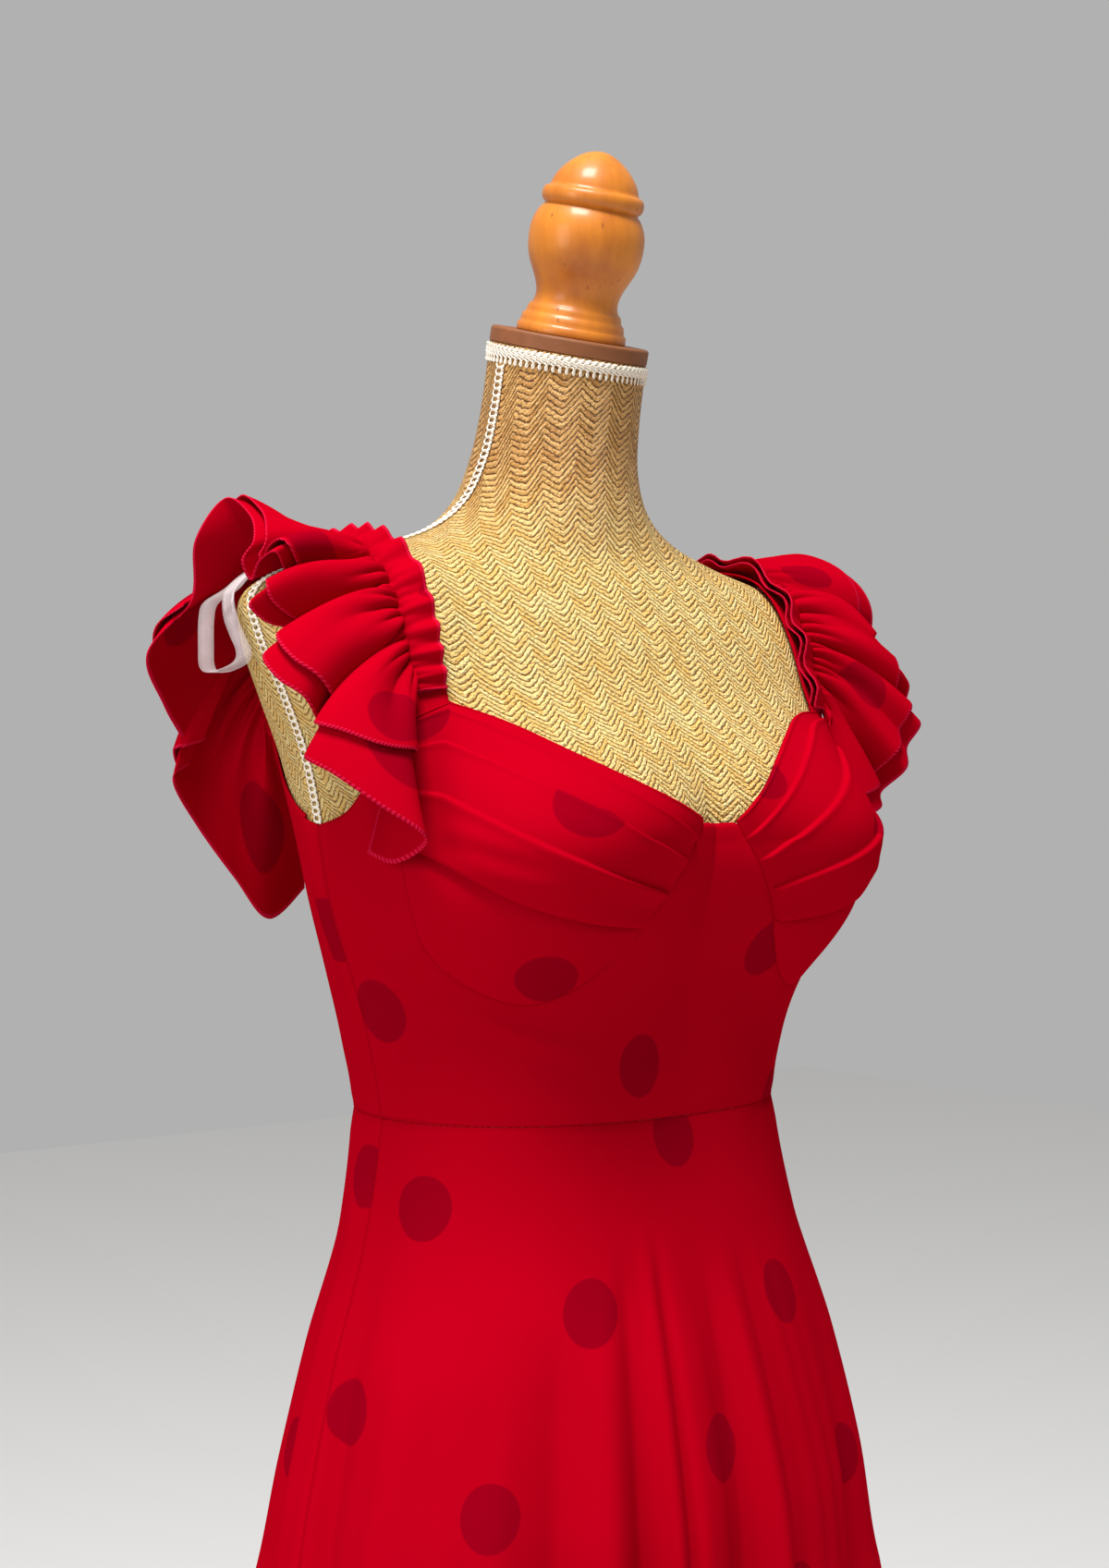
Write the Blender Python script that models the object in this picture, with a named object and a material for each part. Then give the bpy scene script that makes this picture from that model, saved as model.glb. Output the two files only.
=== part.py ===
"""A flamenco dress worn by a straw-covered dress form on a plain round stand.

Metres, +Z up. The front faces -Y and the wearer's left is +X. The origin lies under the
middle of the stand's base. Angles go round the figure in degrees: 0 is the middle of the
front, 90 the wearer's left side, -90 the right side and 180 the middle of the back.
"""

import functools
import math
from collections import namedtuple

import bmesh
import bpy
from mathutils import Matrix, Vector
from mathutils.bvhtree import BVHTree

# Cloth
WALL = 0.0014  # thickness of the cloth
SEAM = 0.0003  # gap where two pieces meet
EASE = 0.0013  # gap between the form and the cloth on it
COVERED_SINK = 0.0015  # how far the form stays inside the figure under the dress
BRIDGE = 0.0045  # more of it where the gore spans the hollow between the cups
PLEAT_RISE = 0.0020  # how far a laid pleat's fold stands over the next one
CUP_FULLNESS = 0.004  # how far a cup's middle stands off the form
BRAID_RISE = 0.0012  # thickness of the gimp braid
BRAID_GAP = 0.0007
STRAP_GAP = BRAID_GAP + BRAID_RISE + 0.0008  # under the straps, which cross the braid

# Heights
WAIST = 1.052
HEM = 0.050
FOLD_REFERENCE = 0.777  # height at which the skirt's fold depths are given

# The figure, row by row from the hips to the top of the neck. front and back are depths
# from centre_y, lean tips the ring forward in degrees, and square is the exponent of the
# section: 2 is an ellipse.
Section = namedtuple("Section", "height half_width front back centre_y lean square")
FIGURE = [
    Section(*row)
    for row in (
        (0.800, 0.152, 0.104, 0.108, 0.000, 0, 2.20),
        (0.860, 0.156, 0.106, 0.111, 0.000, 0, 2.20),
        (0.920, 0.148, 0.103, 0.105, 0.000, 0, 2.20),
        (0.985, 0.1335, 0.096, 0.095, 0.000, 0, 2.20),
        (1.050, 0.1275, 0.095, 0.095, 0.000, 0, 2.25),
        (1.090, 0.1335, 0.096, 0.098, 0.000, 0, 2.30),
        (1.130, 0.143, 0.101, 0.102, 0.000, 0, 2.35),
        (1.170, 0.154, 0.108, 0.106, 0.000, 0, 2.35),
        (1.210, 0.163, 0.114, 0.111, 0.000, 0, 2.35),
        (1.250, 0.172, 0.104, 0.112, 0.005, 0, 2.35),
        (1.285, 0.184, 0.091, 0.110, 0.011, 0, 2.35),
        (1.315, 0.195, 0.084, 0.101, 0.017, 0, 2.30),
        (1.338, 0.196, 0.076, 0.085, 0.022, 0, 2.20),
        (1.353, 0.172, 0.069, 0.068, 0.024, 0, 2.10),
        (1.365, 0.126, 0.062, 0.058, 0.023, 0, 2.05),
        (1.379, 0.085, 0.057, 0.053, 0.020, 1, 2.00),
        (1.397, 0.0615, 0.0535, 0.0500, 0.0170, 4, 2.00),
        (1.422, 0.0505, 0.0485, 0.0480, 0.0120, 9, 2.00),
        (1.450, 0.0470, 0.0462, 0.0462, 0.0060, 13, 2.00),
        (1.4865, 0.0462, 0.0462, 0.0462, -0.0013, 15.6, 2.00),
    )
]
BUST = dict(side=0.079, height=1.196, rise=0.043, across=0.044, above=0.046, below=0.040)

# Seams of the bodice on the wearer's left, as (angle, height); the right side mirrors them
GORE_TOP = [(0.0, 1.2140), (6.2, 1.2145)]
GORE_SEAM = [(6.2, 1.2145), (21.5, 1.1620)]
GORE_POINT = [(21.5, 1.1620), (23.0, 1.1560)]
UNDER_BUST = [(23.0, 1.1560), (31.0, 1.1370), (40.0, 1.1240), (49.0, 1.1190), (58.0, 1.1260),
              (64.5, 1.1380), (68.0, 1.1520)]
CUP_SIDE_LOW = [(68.0, 1.1520), (69.5, 1.2060)]
CUP_SIDE_HIGH = [(69.5, 1.2060), (70.5, 1.2620)]
ARMHOLE_FRONT = [(70.5, 1.2620), (75.0, 1.2370), (81.0, 1.2200), (90.0, 1.2130)]
CUP_FOLD = [(69.5, 1.2060), (60.0, 1.1930), (48.0, 1.1760), (35.0, 1.1660), (21.5, 1.1620)]
STRAP_FRONT = [(70.5, 1.2620), (60.0, 1.2760)]
NECKLINE = [(60.0, 1.2760), (49.0, 1.2640), (36.0, 1.2470), (21.0, 1.2290), (6.2, 1.2145)]
ARMHOLE_BACK = [(90.0, 1.2130), (100.0, 1.2230), (108.5, 1.2430), (114.0, 1.2700)]
STRAP_BACK = [(114.0, 1.2700), (127.5, 1.2750)]
BACK_NECKLINE = [(127.5, 1.2750), (140.0, 1.2520), (158.0, 1.2330), (180.0, 1.2270)]
CUP_COLUMNS = 13
BODICE_ROWS = (0, 0.22, 0.40, 0.54, 0.66, 0.78, 0.89, 1)  # from the waist to the top edge
PLEATS = (0.27, 0.52, 0.76)  # places of the inner pleat folds, from the neckline down

# The skirt under the waist seam, and its folds: sigma is half a fold's width in degrees,
# depth is outwards at FOLD_REFERENCE, and top is the height where the fold starts.
SKIRT = [
    Section(*row)
    for row in (
        (0.985, 0.1385, 0.114, 0.1000, 0, 0, 2.20),
        (0.920, 0.1570, 0.135, 0.1150, 0, 0, 2.15),
        (0.850, 0.1720, 0.152, 0.1300, 0, 0, 2.10),
        (0.777, 0.1855, 0.160, 0.1450, 0, 0, 2.05),
        (0.650, 0.2120, 0.186, 0.1720, 0, 0, 2.00),
        (0.500, 0.2410, 0.216, 0.2060, 0, 0, 2.00),
        (0.350, 0.2730, 0.247, 0.2420, 0, 0, 2.00),
        (0.200, 0.3070, 0.280, 0.2780, 0, 0, 2.00),
        (HEM, 0.3430, 0.314, 0.3140, 0, 0, 2.00),
    )
]
Fold = namedtuple("Fold", "angle sigma depth top")
FOLDS = [
    Fold(*row)
    for row in (
        (-90, 3.6, 0.0060, 1.02),
        (-82, 3.8, -0.0085, 1.02),
        (-61, 10.0, 0.0065, 0.99),
        (-41, 5.0, -0.0085, 0.95),
        (-31, 4.5, 0.0040, 0.95),
        (-21, 4.2, -0.0080, 0.98),
        (-11, 4.0, 0.0085, 1.00),
        (-2, 3.8, -0.0070, 0.98),
        (9, 5.0, 0.0050, 0.98),
        (20, 4.2, -0.0060, 0.99),
        (30, 4.5, 0.0060, 0.99),
        (42, 5.0, -0.0080, 0.97),
        (57, 7.0, 0.0070, 0.98),
        (72, 5.0, -0.0080, 0.97),
        (90, 6.0, 0.0070, 1.03),
        (106, 5.5, -0.0080, 0.98),
        (123, 7.0, 0.0075, 0.99),
        (139, 5.5, -0.0085, 0.96),
        (154, 6.0, 0.0070, 0.98),
        (168, 4.8, -0.0070, 0.97),
        (180, 4.5, 0.0060, 1.00),
        (-168, 4.8, -0.0075, 0.98),
        (-153, 6.5, 0.0070, 0.97),
        (-137, 5.5, -0.0080, 0.98),
        (-121, 6.5, 0.0075, 0.98),
        (-104, 5.0, -0.0080, 1.00),
    )
]
SKIRT_HEIGHTS = (1.015, 0.965, 0.900, 0.820, 0.710, 0.560, 0.400, 0.230, HEM)
FRONT_COLUMNS = 40
BACK_COLUMNS = 20

# The shoulder straps lie on the form in planes of constant x, at elevations seen from
# (STRAP_PIVOT) in degrees: 0 looks to the front, 90 up and 180 to the back.
STRAP_PIVOT = (0.015, 1.270)  # y, z
STRAP_START = 8.0
STRAP_END = 176.0
STRAP_INNER = 0.130
STRAP_OUTER = 0.158
GATHER_X = 0.146  # the ruffles' gathering line
GATHER_START = 9.0
GATHER_END = 184.0

# The free edge of a ruffle on the wearer's left, from its front end to its back end
Edge = namedtuple("Edge", "x y z swing")
RUFFLE_EDGE = [
    Edge(*row)
    for row in (
        (0.166, -0.104, 1.196, 0.35),
        (0.214, -0.080, 1.262, 0.65),
        (0.230, -0.052, 1.316, 0.80),
        (0.227, -0.026, 1.350, 0.80),
        (0.219, 0.000, 1.370, 0.80),
        (0.208, 0.024, 1.378, 0.75),
        (0.206, 0.048, 1.360, 0.75),
        (0.224, 0.074, 1.318, 0.95),
        (0.206, 0.100, 1.256, 0.70),
        (0.177, 0.119, 1.196, 0.35),
        (0.122, 0.132, 1.157, 0.10),
    )
]
Layer = namedtuple("Layer", "name reach lift_gather lift_edge")
LAYERS = (
    Layer("ruffle_under", 1.00, 0.0, 0.0),
    Layer("ruffle_top", 0.86, 0.0022, 0.0060),
)
WAVES = 9
WAVE_STEPS = 6
WAVE_SWING = 0.0115  # of a wave at the free edge, either side of its middle
WAVE_ROUNDING = 0.04
RUFFLE_WALL = 0.0012
RUFFLE_SHIFT = {1: Vector((-0.009, 0, 0.006)), -1: Vector((0, 0, 0))}  # of the free edge
HEADING = 0.018
HEADING_SWING = 0.0030
RUFFLE_ROWS = (-1.0, -0.5, 0.0, 0.28, 0.62, 1.0)  # heading below 0, frill above

# The ribbon loops on the wearer's left: turn is the ribbon's width from along y to along x
RIBBON_WIDTH = 0.0065
RIBBON_WALL = 0.0010
HANGER_LOOP = [  # (x, y, z, turn)
    (0.1600, 0.020, 1.3615, 0), (0.1780, 0.022, 1.3570, 0), (0.1960, 0.026, 1.3490, 0),
    (0.2050, 0.029, 1.3300, 10), (0.2060, 0.031, 1.3080, 30), (0.2040, 0.035, 1.2900, 70),
    (0.2030, 0.042, 1.2880, 90), (0.2030, 0.047, 1.2960, 60), (0.2040, 0.048, 1.3180, 20),
    (0.1990, 0.046, 1.3400, 0), (0.1860, 0.044, 1.3520, 0), (0.1720, 0.042, 1.3570, 0),
    (0.1600, 0.040, 1.3590, 0),
]

# The form's trim, the finial and the stand
NECK_LEAN = math.radians(15.6)
NECK_TOP = Vector((0.0, -0.0013, 1.4865))
CAP_RADIUS = 0.0465
CAP_HEIGHT = 0.0090
NECK_BRAID_WIDTH = 0.0125
SIDE_BRAID_WIDTH = 0.0065
FINIAL = [  # (radius, height over the cap)
    (0.0320, 0.0000), (0.0320, 0.0046), (0.0305, 0.0060), (0.0295, 0.0102),
    (0.0280, 0.0116), (0.0270, 0.0157), (0.0250, 0.0185), (0.0240, 0.0231),
    (0.0252, 0.0305), (0.0295, 0.0398), (0.0328, 0.0490), (0.0335, 0.0574),
    (0.0318, 0.0657), (0.0280, 0.0722), (0.0272, 0.0740), (0.0290, 0.0754),
    (0.0296, 0.0786), (0.0288, 0.0819), (0.0262, 0.0833), (0.0258, 0.0856),
    (0.0235, 0.0934), (0.0185, 0.0999), (0.0110, 0.1041), (0.0000, 0.1055),
]
BASE_RADIUS = 0.190
BASE_HEIGHT = 0.028
POLE_RADIUS = 0.017
COLLAR_RADIUS = 0.045
COLLAR_HEIGHT = 0.020


# ---------------------------------------------------------------- objects and materials


def clear_scene():
    for item in list(bpy.data.objects):
        bpy.data.objects.remove(item, do_unlink=True)


def linear(hex_colour):
    """The linear colour of an sRGB hex colour."""
    channels = [int(hex_colour[i : i + 2], 16) / 255 for i in (1, 3, 5)]
    return [c / 12.92 if c <= 0.04045 else ((c + 0.055) / 1.055) ** 2.4 for c in channels] + [1.0]


def finish(name, colour, roughness):
    material = bpy.data.materials.new(name)
    material.use_nodes = True
    shader = material.node_tree.nodes["Principled BSDF"]
    shader.inputs["Base Color"].default_value = linear(colour)
    shader.inputs["Roughness"].default_value = roughness
    shader.inputs["Metallic"].default_value = 0.0
    return material


def add_object(name, mesh, material):
    """One named object of the dress, from a bmesh."""
    data = bpy.data.meshes.new(name)
    mesh.to_mesh(data)
    mesh.free()
    item = bpy.data.objects.new(name, data)
    PARTS.objects.link(item)
    data.materials.append(material)
    data.shade_smooth()
    data.set_sharp_from_angle(angle=math.radians(40))
    return item


def shell(name, inner, outer, material, ring=False):
    """A cloth wall between two grids of points, closed round its edges."""
    mesh = bmesh.new()
    inside, outside = (
        [[mesh.verts.new(point) for point in row] for row in grid] for grid in (inner, outer)
    )
    last_row, columns = len(inner) - 1, len(inner[0])
    for j in range(columns if ring else columns - 1):
        k = (j + 1) % columns
        for i in range(last_row):
            mesh.faces.new((outside[i][j], outside[i][k], outside[i + 1][k], outside[i + 1][j]))
            mesh.faces.new((inside[i][j], inside[i + 1][j], inside[i + 1][k], inside[i][k]))
        for i in (0, last_row):
            mesh.faces.new((inside[i][j], inside[i][k], outside[i][k], outside[i][j]))
    if not ring:
        for j in (0, columns - 1):
            for i in range(last_row):
                mesh.faces.new(
                    (inside[i][j], inside[i + 1][j], outside[i + 1][j], outside[i][j])
                )
    # the same diagonal on both faces of the wall, so that it keeps its thickness
    bmesh.ops.triangulate(mesh, faces=mesh.faces, quad_method="FIXED")
    bmesh.ops.recalc_face_normals(mesh, faces=mesh.faces)
    return add_object(name, mesh, material)


def turned(name, profile, steps, material):
    """A shape turned round Z from (radius, height) points, the lowest first."""
    mesh = bmesh.new()
    points = [mesh.verts.new((radius, 0, height)) for radius, height in profile]
    for start, end in zip(points, points[1:]):
        mesh.edges.new((start, end))
    bmesh.ops.spin(
        mesh, geom=mesh.verts[:] + mesh.edges[:], axis=(0, 0, 1), cent=(0, 0, 0),
        steps=steps, angle=math.tau, use_merge=True,
    )
    bmesh.ops.remove_doubles(mesh, verts=mesh.verts, dist=1e-6)
    bmesh.ops.recalc_face_normals(mesh, faces=mesh.faces)
    return add_object(name, mesh, material)


# --------------------------------------------------------------------------- the figure


def blend(rows, place):
    """The row at a fractional place, on a smooth curve through the rows."""
    last = len(rows) - 1
    place = min(max(place, 0.0), float(last))
    i = min(int(place), last - 1)
    t = place - i
    near = (rows[max(i - 1, 0)], rows[i], rows[i + 1], rows[min(i + 2, last)])
    values = (
        b + 0.5 * t * (c - a + t * (2 * a - 5 * b + 4 * c - d + t * (3 * (b - c) + d - a)))
        for a, b, c, d in zip(*near)
    )
    return type(rows[0])(*values) if hasattr(rows[0], "_fields") else tuple(values)


def smooth_line(points, count):
    """count points spread evenly along a smooth line through a few."""
    last = len(points) - 1
    return [blend(points, last * i / (count - 1)) for i in range(count)]


def ring_point(section, angle):
    """The point of a section at an angle in degrees, before the bust is added."""
    s, c = math.sin(math.radians(angle)), math.cos(math.radians(angle))
    depth = section.front if c > 0 else section.back
    n = section.square
    reach = ((abs(s) / section.half_width) ** n + (abs(c) / depth) ** n) ** (-1 / n)
    lean = math.radians(section.lean)
    across, along = reach * s, -reach * c
    return Vector(
        (
            across,
            section.centre_y + along * math.cos(lean),
            section.height + along * math.sin(lean),
        )
    )


def bust(point, angle):
    """The push of the bust at a point of the ribcage."""
    if abs(angle) > 95:
        return Vector((0, 0, 0))
    across = (abs(point.x) - BUST["side"]) / BUST["across"]
    if across < 0:  # the hollow between the cups fills in above them
        across *= 1 - 0.45 * min(max((point.z - 1.205) / 0.045, 0), 1)
    spread = BUST["above"] if point.z > BUST["height"] else BUST["below"]
    upward = (point.z - BUST["height"]) / spread
    push = BUST["rise"] * math.exp(-0.5 * (across * across + upward * upward))
    turn = math.radians(angle * 0.75)
    return Vector((math.sin(turn), -math.cos(turn), 0)) * push


def figure(place, angle):
    """The figure's point at a place in FIGURE and an angle within -180..180."""
    angle = (angle + 180) % 360 - 180
    point = ring_point(blend(FIGURE, place), angle)
    return point + bust(point, angle)


@functools.lru_cache(maxsize=None)
def place_of(height):
    """The place in FIGURE at a height."""
    low, high = 0.0, len(FIGURE) - 1.0
    for _ in range(40):
        middle = 0.5 * (low + high)
        if blend(FIGURE, middle).height < height:
            low = middle
        else:
            high = middle
    return low


def lifted(surface, u, v, lift, step_u=0.02, step_v=0.5):
    """The point of surface(u, v), moved out along the surface's normal."""
    along_u = surface(u + step_u, v) - surface(u - step_u, v)
    along_v = surface(u, v + step_v) - surface(u, v - step_v)
    return surface(u, v) + along_v.cross(along_u).normalized() * lift


def skin(angle, height, lift):
    """A point over the figure, lifted off it."""
    return lifted(figure, place_of(round(height, 6)), angle, lift)


def figure_tree():
    """The figure as a fine net that rays can be dropped on."""
    rows, columns = 240, 240
    last = len(FIGURE) - 1
    points = [
        figure(last * i / (rows - 1), 360 * j / columns)
        for i in range(rows)
        for j in range(columns)
    ]
    faces = [
        (
            i * columns + j,
            i * columns + (j + 1) % columns,
            (i + 1) * columns + (j + 1) % columns,
            (i + 1) * columns + j,
        )
        for i in range(rows - 1)
        for j in range(columns)
    ]
    return BVHTree.FromPolygons(points, faces)


def over_shoulder(x, elevation, lift):
    """A point over the figure's shoulder, in the plane of x, lifted along its normal."""
    turn = math.radians(elevation)
    outward = Vector((0, -math.cos(turn), math.sin(turn)))
    pivot = Vector((x, *STRAP_PIVOT))
    point, normal, _, _ = FIGURE_NET.ray_cast(pivot + outward * 0.5, -outward)
    if normal.dot(outward) < 0:
        normal = -normal
    return point + normal * lift


# --------------------------------------------------------------------- the form's pieces


def make_form():
    mesh = bmesh.new()
    columns = 32
    last = len(FIGURE) - 1
    covered = 9  # up to here the dress covers it
    places = [*range(covered), *(covered + 0.5 * i for i in range(2 * (last - covered) + 1))]
    rings = []
    for place in places:
        sink = COVERED_SINK if 4 <= place < covered else 0
        ring = [figure(place, 360 * j / columns) for j in range(columns)]
        if sink:
            ring = [lifted(figure, place, 360 * j / columns, -sink) for j in range(columns)]
        rings.append([mesh.verts.new(point) for point in ring])
    for low, high in zip(rings, rings[1:]):
        for j in range(columns):
            k = (j + 1) % columns
            mesh.faces.new((low[j], low[k], high[k], high[j]))
    mesh.faces.new(rings[-1])
    mesh.faces.new(list(reversed(rings[0])))
    bmesh.ops.recalc_face_normals(mesh, faces=mesh.faces)
    return add_object("form_torso", mesh, STRAW)


def lean_on_neck(item, height):
    """Stands a turned piece on the neck's leaning top, at a height along its axis."""
    lean = Matrix.Rotation(NECK_LEAN, 4, "X")
    axis = Vector((0, -math.sin(NECK_LEAN), math.cos(NECK_LEAN)))
    item.matrix_world = Matrix.Translation(NECK_TOP + axis * height) @ lean
    return item


def make_neck_pieces():
    edge = 0.0012
    cap = [
        (0, 0), (CAP_RADIUS - edge, 0), (CAP_RADIUS, edge), (CAP_RADIUS, CAP_HEIGHT - edge),
        (CAP_RADIUS - edge, CAP_HEIGHT), (0, CAP_HEIGHT),
    ]
    lean_on_neck(turned("neck_cap", cap, 32, DARK_WOOD), SEAM)
    knob = [(0, 0)] + FINIAL
    lean_on_neck(turned("finial", knob, 20, LACQUERED_WOOD), CAP_HEIGHT + 2 * SEAM)


def make_neck_braid():
    last = len(FIGURE) - 1
    top = last - 0.03
    bottom = top - NECK_BRAID_WIDTH / 0.037
    columns = 36
    grids = []
    for lift in (SEAM, SEAM + BRAID_RISE):
        grids.append(
            [
                [lifted(figure, place, 360 * j / columns, lift) for j in range(columns)]
                for place in (bottom, top)
            ]
        )
    shell("neck_braid", *grids, BRAID, ring=True)
    return bottom


def make_side_braid(side, name, neck_place):
    """The braid from the neck over the shoulder and down the side, to the armhole."""
    start = neck_place - SEAM / 0.037
    end = place_of(ARMHOLE_FRONT[-1][1]) + 0.02
    steps = 30
    half = SIDE_BRAID_WIDTH / 2
    grids = ([], [])
    for i in range(steps + 1):
        place = start + (end - start) * i / steps
        turn = math.degrees(math.atan2(half, abs(figure(place, 90 * side).x)))
        for grid, lift in zip(grids, (BRAID_GAP, BRAID_GAP + BRAID_RISE)):
            grid.append([lifted(figure, place, 90 * side + d, lift) for d in (-turn, turn)])
    shell(name, *grids, BRAID)


def make_stand():
    edge = 0.006
    base = [
        (0, 0), (BASE_RADIUS, 0), (BASE_RADIUS, BASE_HEIGHT - edge),
        (BASE_RADIUS - edge, BASE_HEIGHT), (0, BASE_HEIGHT),
    ]
    turned("stand_base", base, 40, LACQUERED_WOOD)
    foot = BASE_HEIGHT + SEAM
    collar = [
        (POLE_RADIUS + SEAM, foot), (COLLAR_RADIUS, foot),
        (COLLAR_RADIUS * 0.8, foot + COLLAR_HEIGHT * 0.6),
        (POLE_RADIUS + 0.006, foot + COLLAR_HEIGHT), (POLE_RADIUS + SEAM, foot + COLLAR_HEIGHT),
    ]
    turned("stand_collar", collar + collar[:1], 20, LACQUERED_WOOD)
    top = FIGURE[0].height - SEAM
    pole = [(0, foot), (POLE_RADIUS, foot), (POLE_RADIUS, top), (0, top)]
    turned("stand_pole", pole, 24, LACQUERED_WOOD)


# -------------------------------------------------------------------------- the bodice


def ruled(lower, upper, shares):
    """Rows of (angle, height) from one line to another, with as many points in each."""
    return [
        [
            (a[0] + (b[0] - a[0]) * share, a[1] + (b[1] - a[1]) * share)
            for a, b in zip(lower, upper)
        ]
        for share in shares
    ]


def trimmed(grid, sides):
    """The grid with the named edges (low, high, first, last) moved in by half a seam."""

    def inset(edge, inner):
        return edge + (inner - edge).normalized() * (SEAM / 2)

    rows = [list(row) for row in grid]
    if "low" in sides:
        rows[0] = [inset(a, b) for a, b in zip(rows[0], rows[1])]
    if "high" in sides:
        rows[-1] = [inset(a, b) for a, b in zip(rows[-1], rows[-2])]
    for row in rows:
        if "first" in sides:
            row[0] = inset(row[0], row[1])
        if "last" in sides:
            row[-1] = inset(row[-1], row[-2])
    return rows


def ease(angle, height):
    """The gap under the bodice at a place: the cloth spans the hollow at the gore."""
    beside = math.exp(-0.5 * (angle / 13) ** 2)
    over = 1 / (1 + math.exp((1.142 - height) / 0.010))
    return EASE + BRIDGE * beside * over


def plain(i, j):
    return 0.0


def panel(name, flat, side, sides, crown=plain, relief=plain):
    """A panel on the figure. flat is its grid of (angle, height) on the wearer's left.
    crown lifts both faces of the wall off the figure, by (row, column), and relief raises
    the outer face alone."""
    grids = []
    for wall in (False, True):
        grid = []
        for i, row in enumerate(flat):
            points = []
            for j, (angle, height) in enumerate(row):
                lift = ease(angle, height) + crown(i, j)
                if wall:
                    lift += WALL + relief(i, j)
                points.append(skin(side * angle, height, lift))
            grid.append(points)
        grids.append(trimmed(grid, sides))
    return shell(name, *grids, CREPE)


def join(*lines):
    """Lines joined end to end, their shared points once."""
    points = list(lines[0])
    for line in lines[1:]:
        points += line[1:]
    return points


def make_bodice_front():
    """The midriff with its gore and both sides, under the cups."""
    half = join(
        smooth_line(GORE_TOP, 2),
        smooth_line(GORE_SEAM, 4),
        smooth_line(GORE_POINT, 2),
        smooth_line(UNDER_BUST, CUP_COLUMNS),
        smooth_line(CUP_SIDE_LOW, 3),
        smooth_line(CUP_SIDE_HIGH, 3),
        smooth_line(ARMHOLE_FRONT, 4),
    )
    count = len(half) - 1
    # the columns stand upright under the cups and lean forward below the armhole
    waist = [(90 * (i / count) ** 0.8, WAIST) for i in range(count + 1)]
    flat = ruled(waist, half, BODICE_ROWS)
    whole = [[(-angle, height) for angle, height in row[:0:-1]] + row for row in flat]
    panel("bodice_front", whole, 1, ("low", "high", "first", "last"))


def make_cups(side, name):
    columns = CUP_COLUMNS
    fold = smooth_line(CUP_FOLD, columns)
    under = smooth_line(UNDER_BUST[::-1], columns)
    strap_columns = 4
    neck = join(
        smooth_line(STRAP_FRONT, strap_columns),
        smooth_line(NECKLINE, columns - strap_columns + 1),
    )
    everywhere = ("low", "high", "first", "last")

    # the smooth lower cup
    shares = (0, 0.25, 0.5, 0.75, 1)

    def fullness(share, j):
        return CUP_FULLNESS * math.sin(math.pi * share) * math.sin(math.pi * j / (columns - 1))

    panel(
        "cup_lower_" + name, ruled(under, fold, shares), side, everywhere,
        crown=lambda i, j: fullness(shares[i], j),
    )

    # the pleated upper cup: each pleat lies over the one above it, its fold facing up
    step = 0.025
    folds = (0.0, *(1 - place for place in reversed(PLEATS)), 1.0)
    rows = []
    for low, high in zip(folds, folds[1:]):
        rows += [(low, 0.0), (high - step, 1.0)]
    rows.append((1.0, 0.0))

    panel(
        "cup_upper_" + name, ruled(fold, neck, [share for share, _ in rows]), side, everywhere,
        crown=lambda i, j: fullness(rows[i][0], j),
        relief=lambda i, j: PLEAT_RISE * rows[i][1] * (0.45 + 0.55 * j / (columns - 1)),
    )


def make_back(side, name):
    top = join(
        smooth_line(ARMHOLE_BACK, 5),
        smooth_line(STRAP_BACK, 4),
        smooth_line(BACK_NECKLINE, 7),
    )
    count = len(top) - 1
    waist = [(90 + 90 * i / count, WAIST) for i in range(count + 1)]
    flat = ruled(waist, top, BODICE_ROWS)
    panel("bodice_back_" + name, flat, side, ("low", "high", "first", "last"))


def make_strap(side, name):
    """The shoulder band, from the cup over the form's braid to the back."""
    across = (STRAP_OUTER, 0.149, 0.139, STRAP_INNER)
    count = len(across)
    steps = 12
    grids = []
    for wall in (0, WALL):
        rows = [[skin(a, h, EASE + wall) for a, h in smooth_line(STRAP_FRONT, count)]]
        for i in range(1, steps):
            elevation = STRAP_START + (STRAP_END - STRAP_START) * (i - 0.5) / (steps - 1)
            rise = min(1, 3 * min(i, steps - i) / steps)
            lift = EASE + (STRAP_GAP - EASE) * rise + wall
            rows.append([over_shoulder(x, elevation, lift) for x in across])
        rows.append([skin(a, h, EASE + wall) for a, h in smooth_line(STRAP_BACK, count)])
        rows = [[Vector((p.x * side, p.y, p.z)) for p in row] for row in rows]
        grids.append(trimmed(rows, ("low", "high")))
    shell("strap_" + name, *grids, CREPE)


# ------------------------------------------------------------------------- the ruffles


def ruffle_middle(share, place):
    """The ruffle's middle surface: share runs from its front end to its back end, and
    place from -1 at the heading's edge over 0 at the gathers to 1 at the free edge."""
    elevation = GATHER_START + (GATHER_END - GATHER_START) * share
    turn = math.radians(elevation)
    outward = Vector((0, -math.cos(turn), math.sin(turn)))
    lift = STRAP_GAP + WALL + 3 * SEAM
    gather = over_shoulder(GATHER_X, elevation, lift)
    if place < 0:
        rise = 0.5 + 0.3 * share
        return gather + (Vector((-1, 0, 0)) + outward * rise).normalized() * HEADING * -place
    row = blend(RUFFLE_EDGE, share * (len(RUFFLE_EDGE) - 1))
    edge = Vector((row.x, row.y, row.z))
    span = (edge - gather).length
    sideways = 0.85 - 2.5 * max(share - 0.8, 0)  # flatter towards the back end
    swell = gather + (Vector((sideways, 0, 0)) + outward * 0.5) * span * 0.45
    t = place
    return gather * (1 - t) ** 2 + swell * 2 * t * (1 - t) + edge * t * t


def wave(share, side):
    """The phase of a ruffle's waves, unevenly spaced."""
    turns = WAVES * share + 0.22 * math.sin(math.tau * (1.7 * share + 0.1 * side))
    return math.tau * (turns + 0.25)


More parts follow.
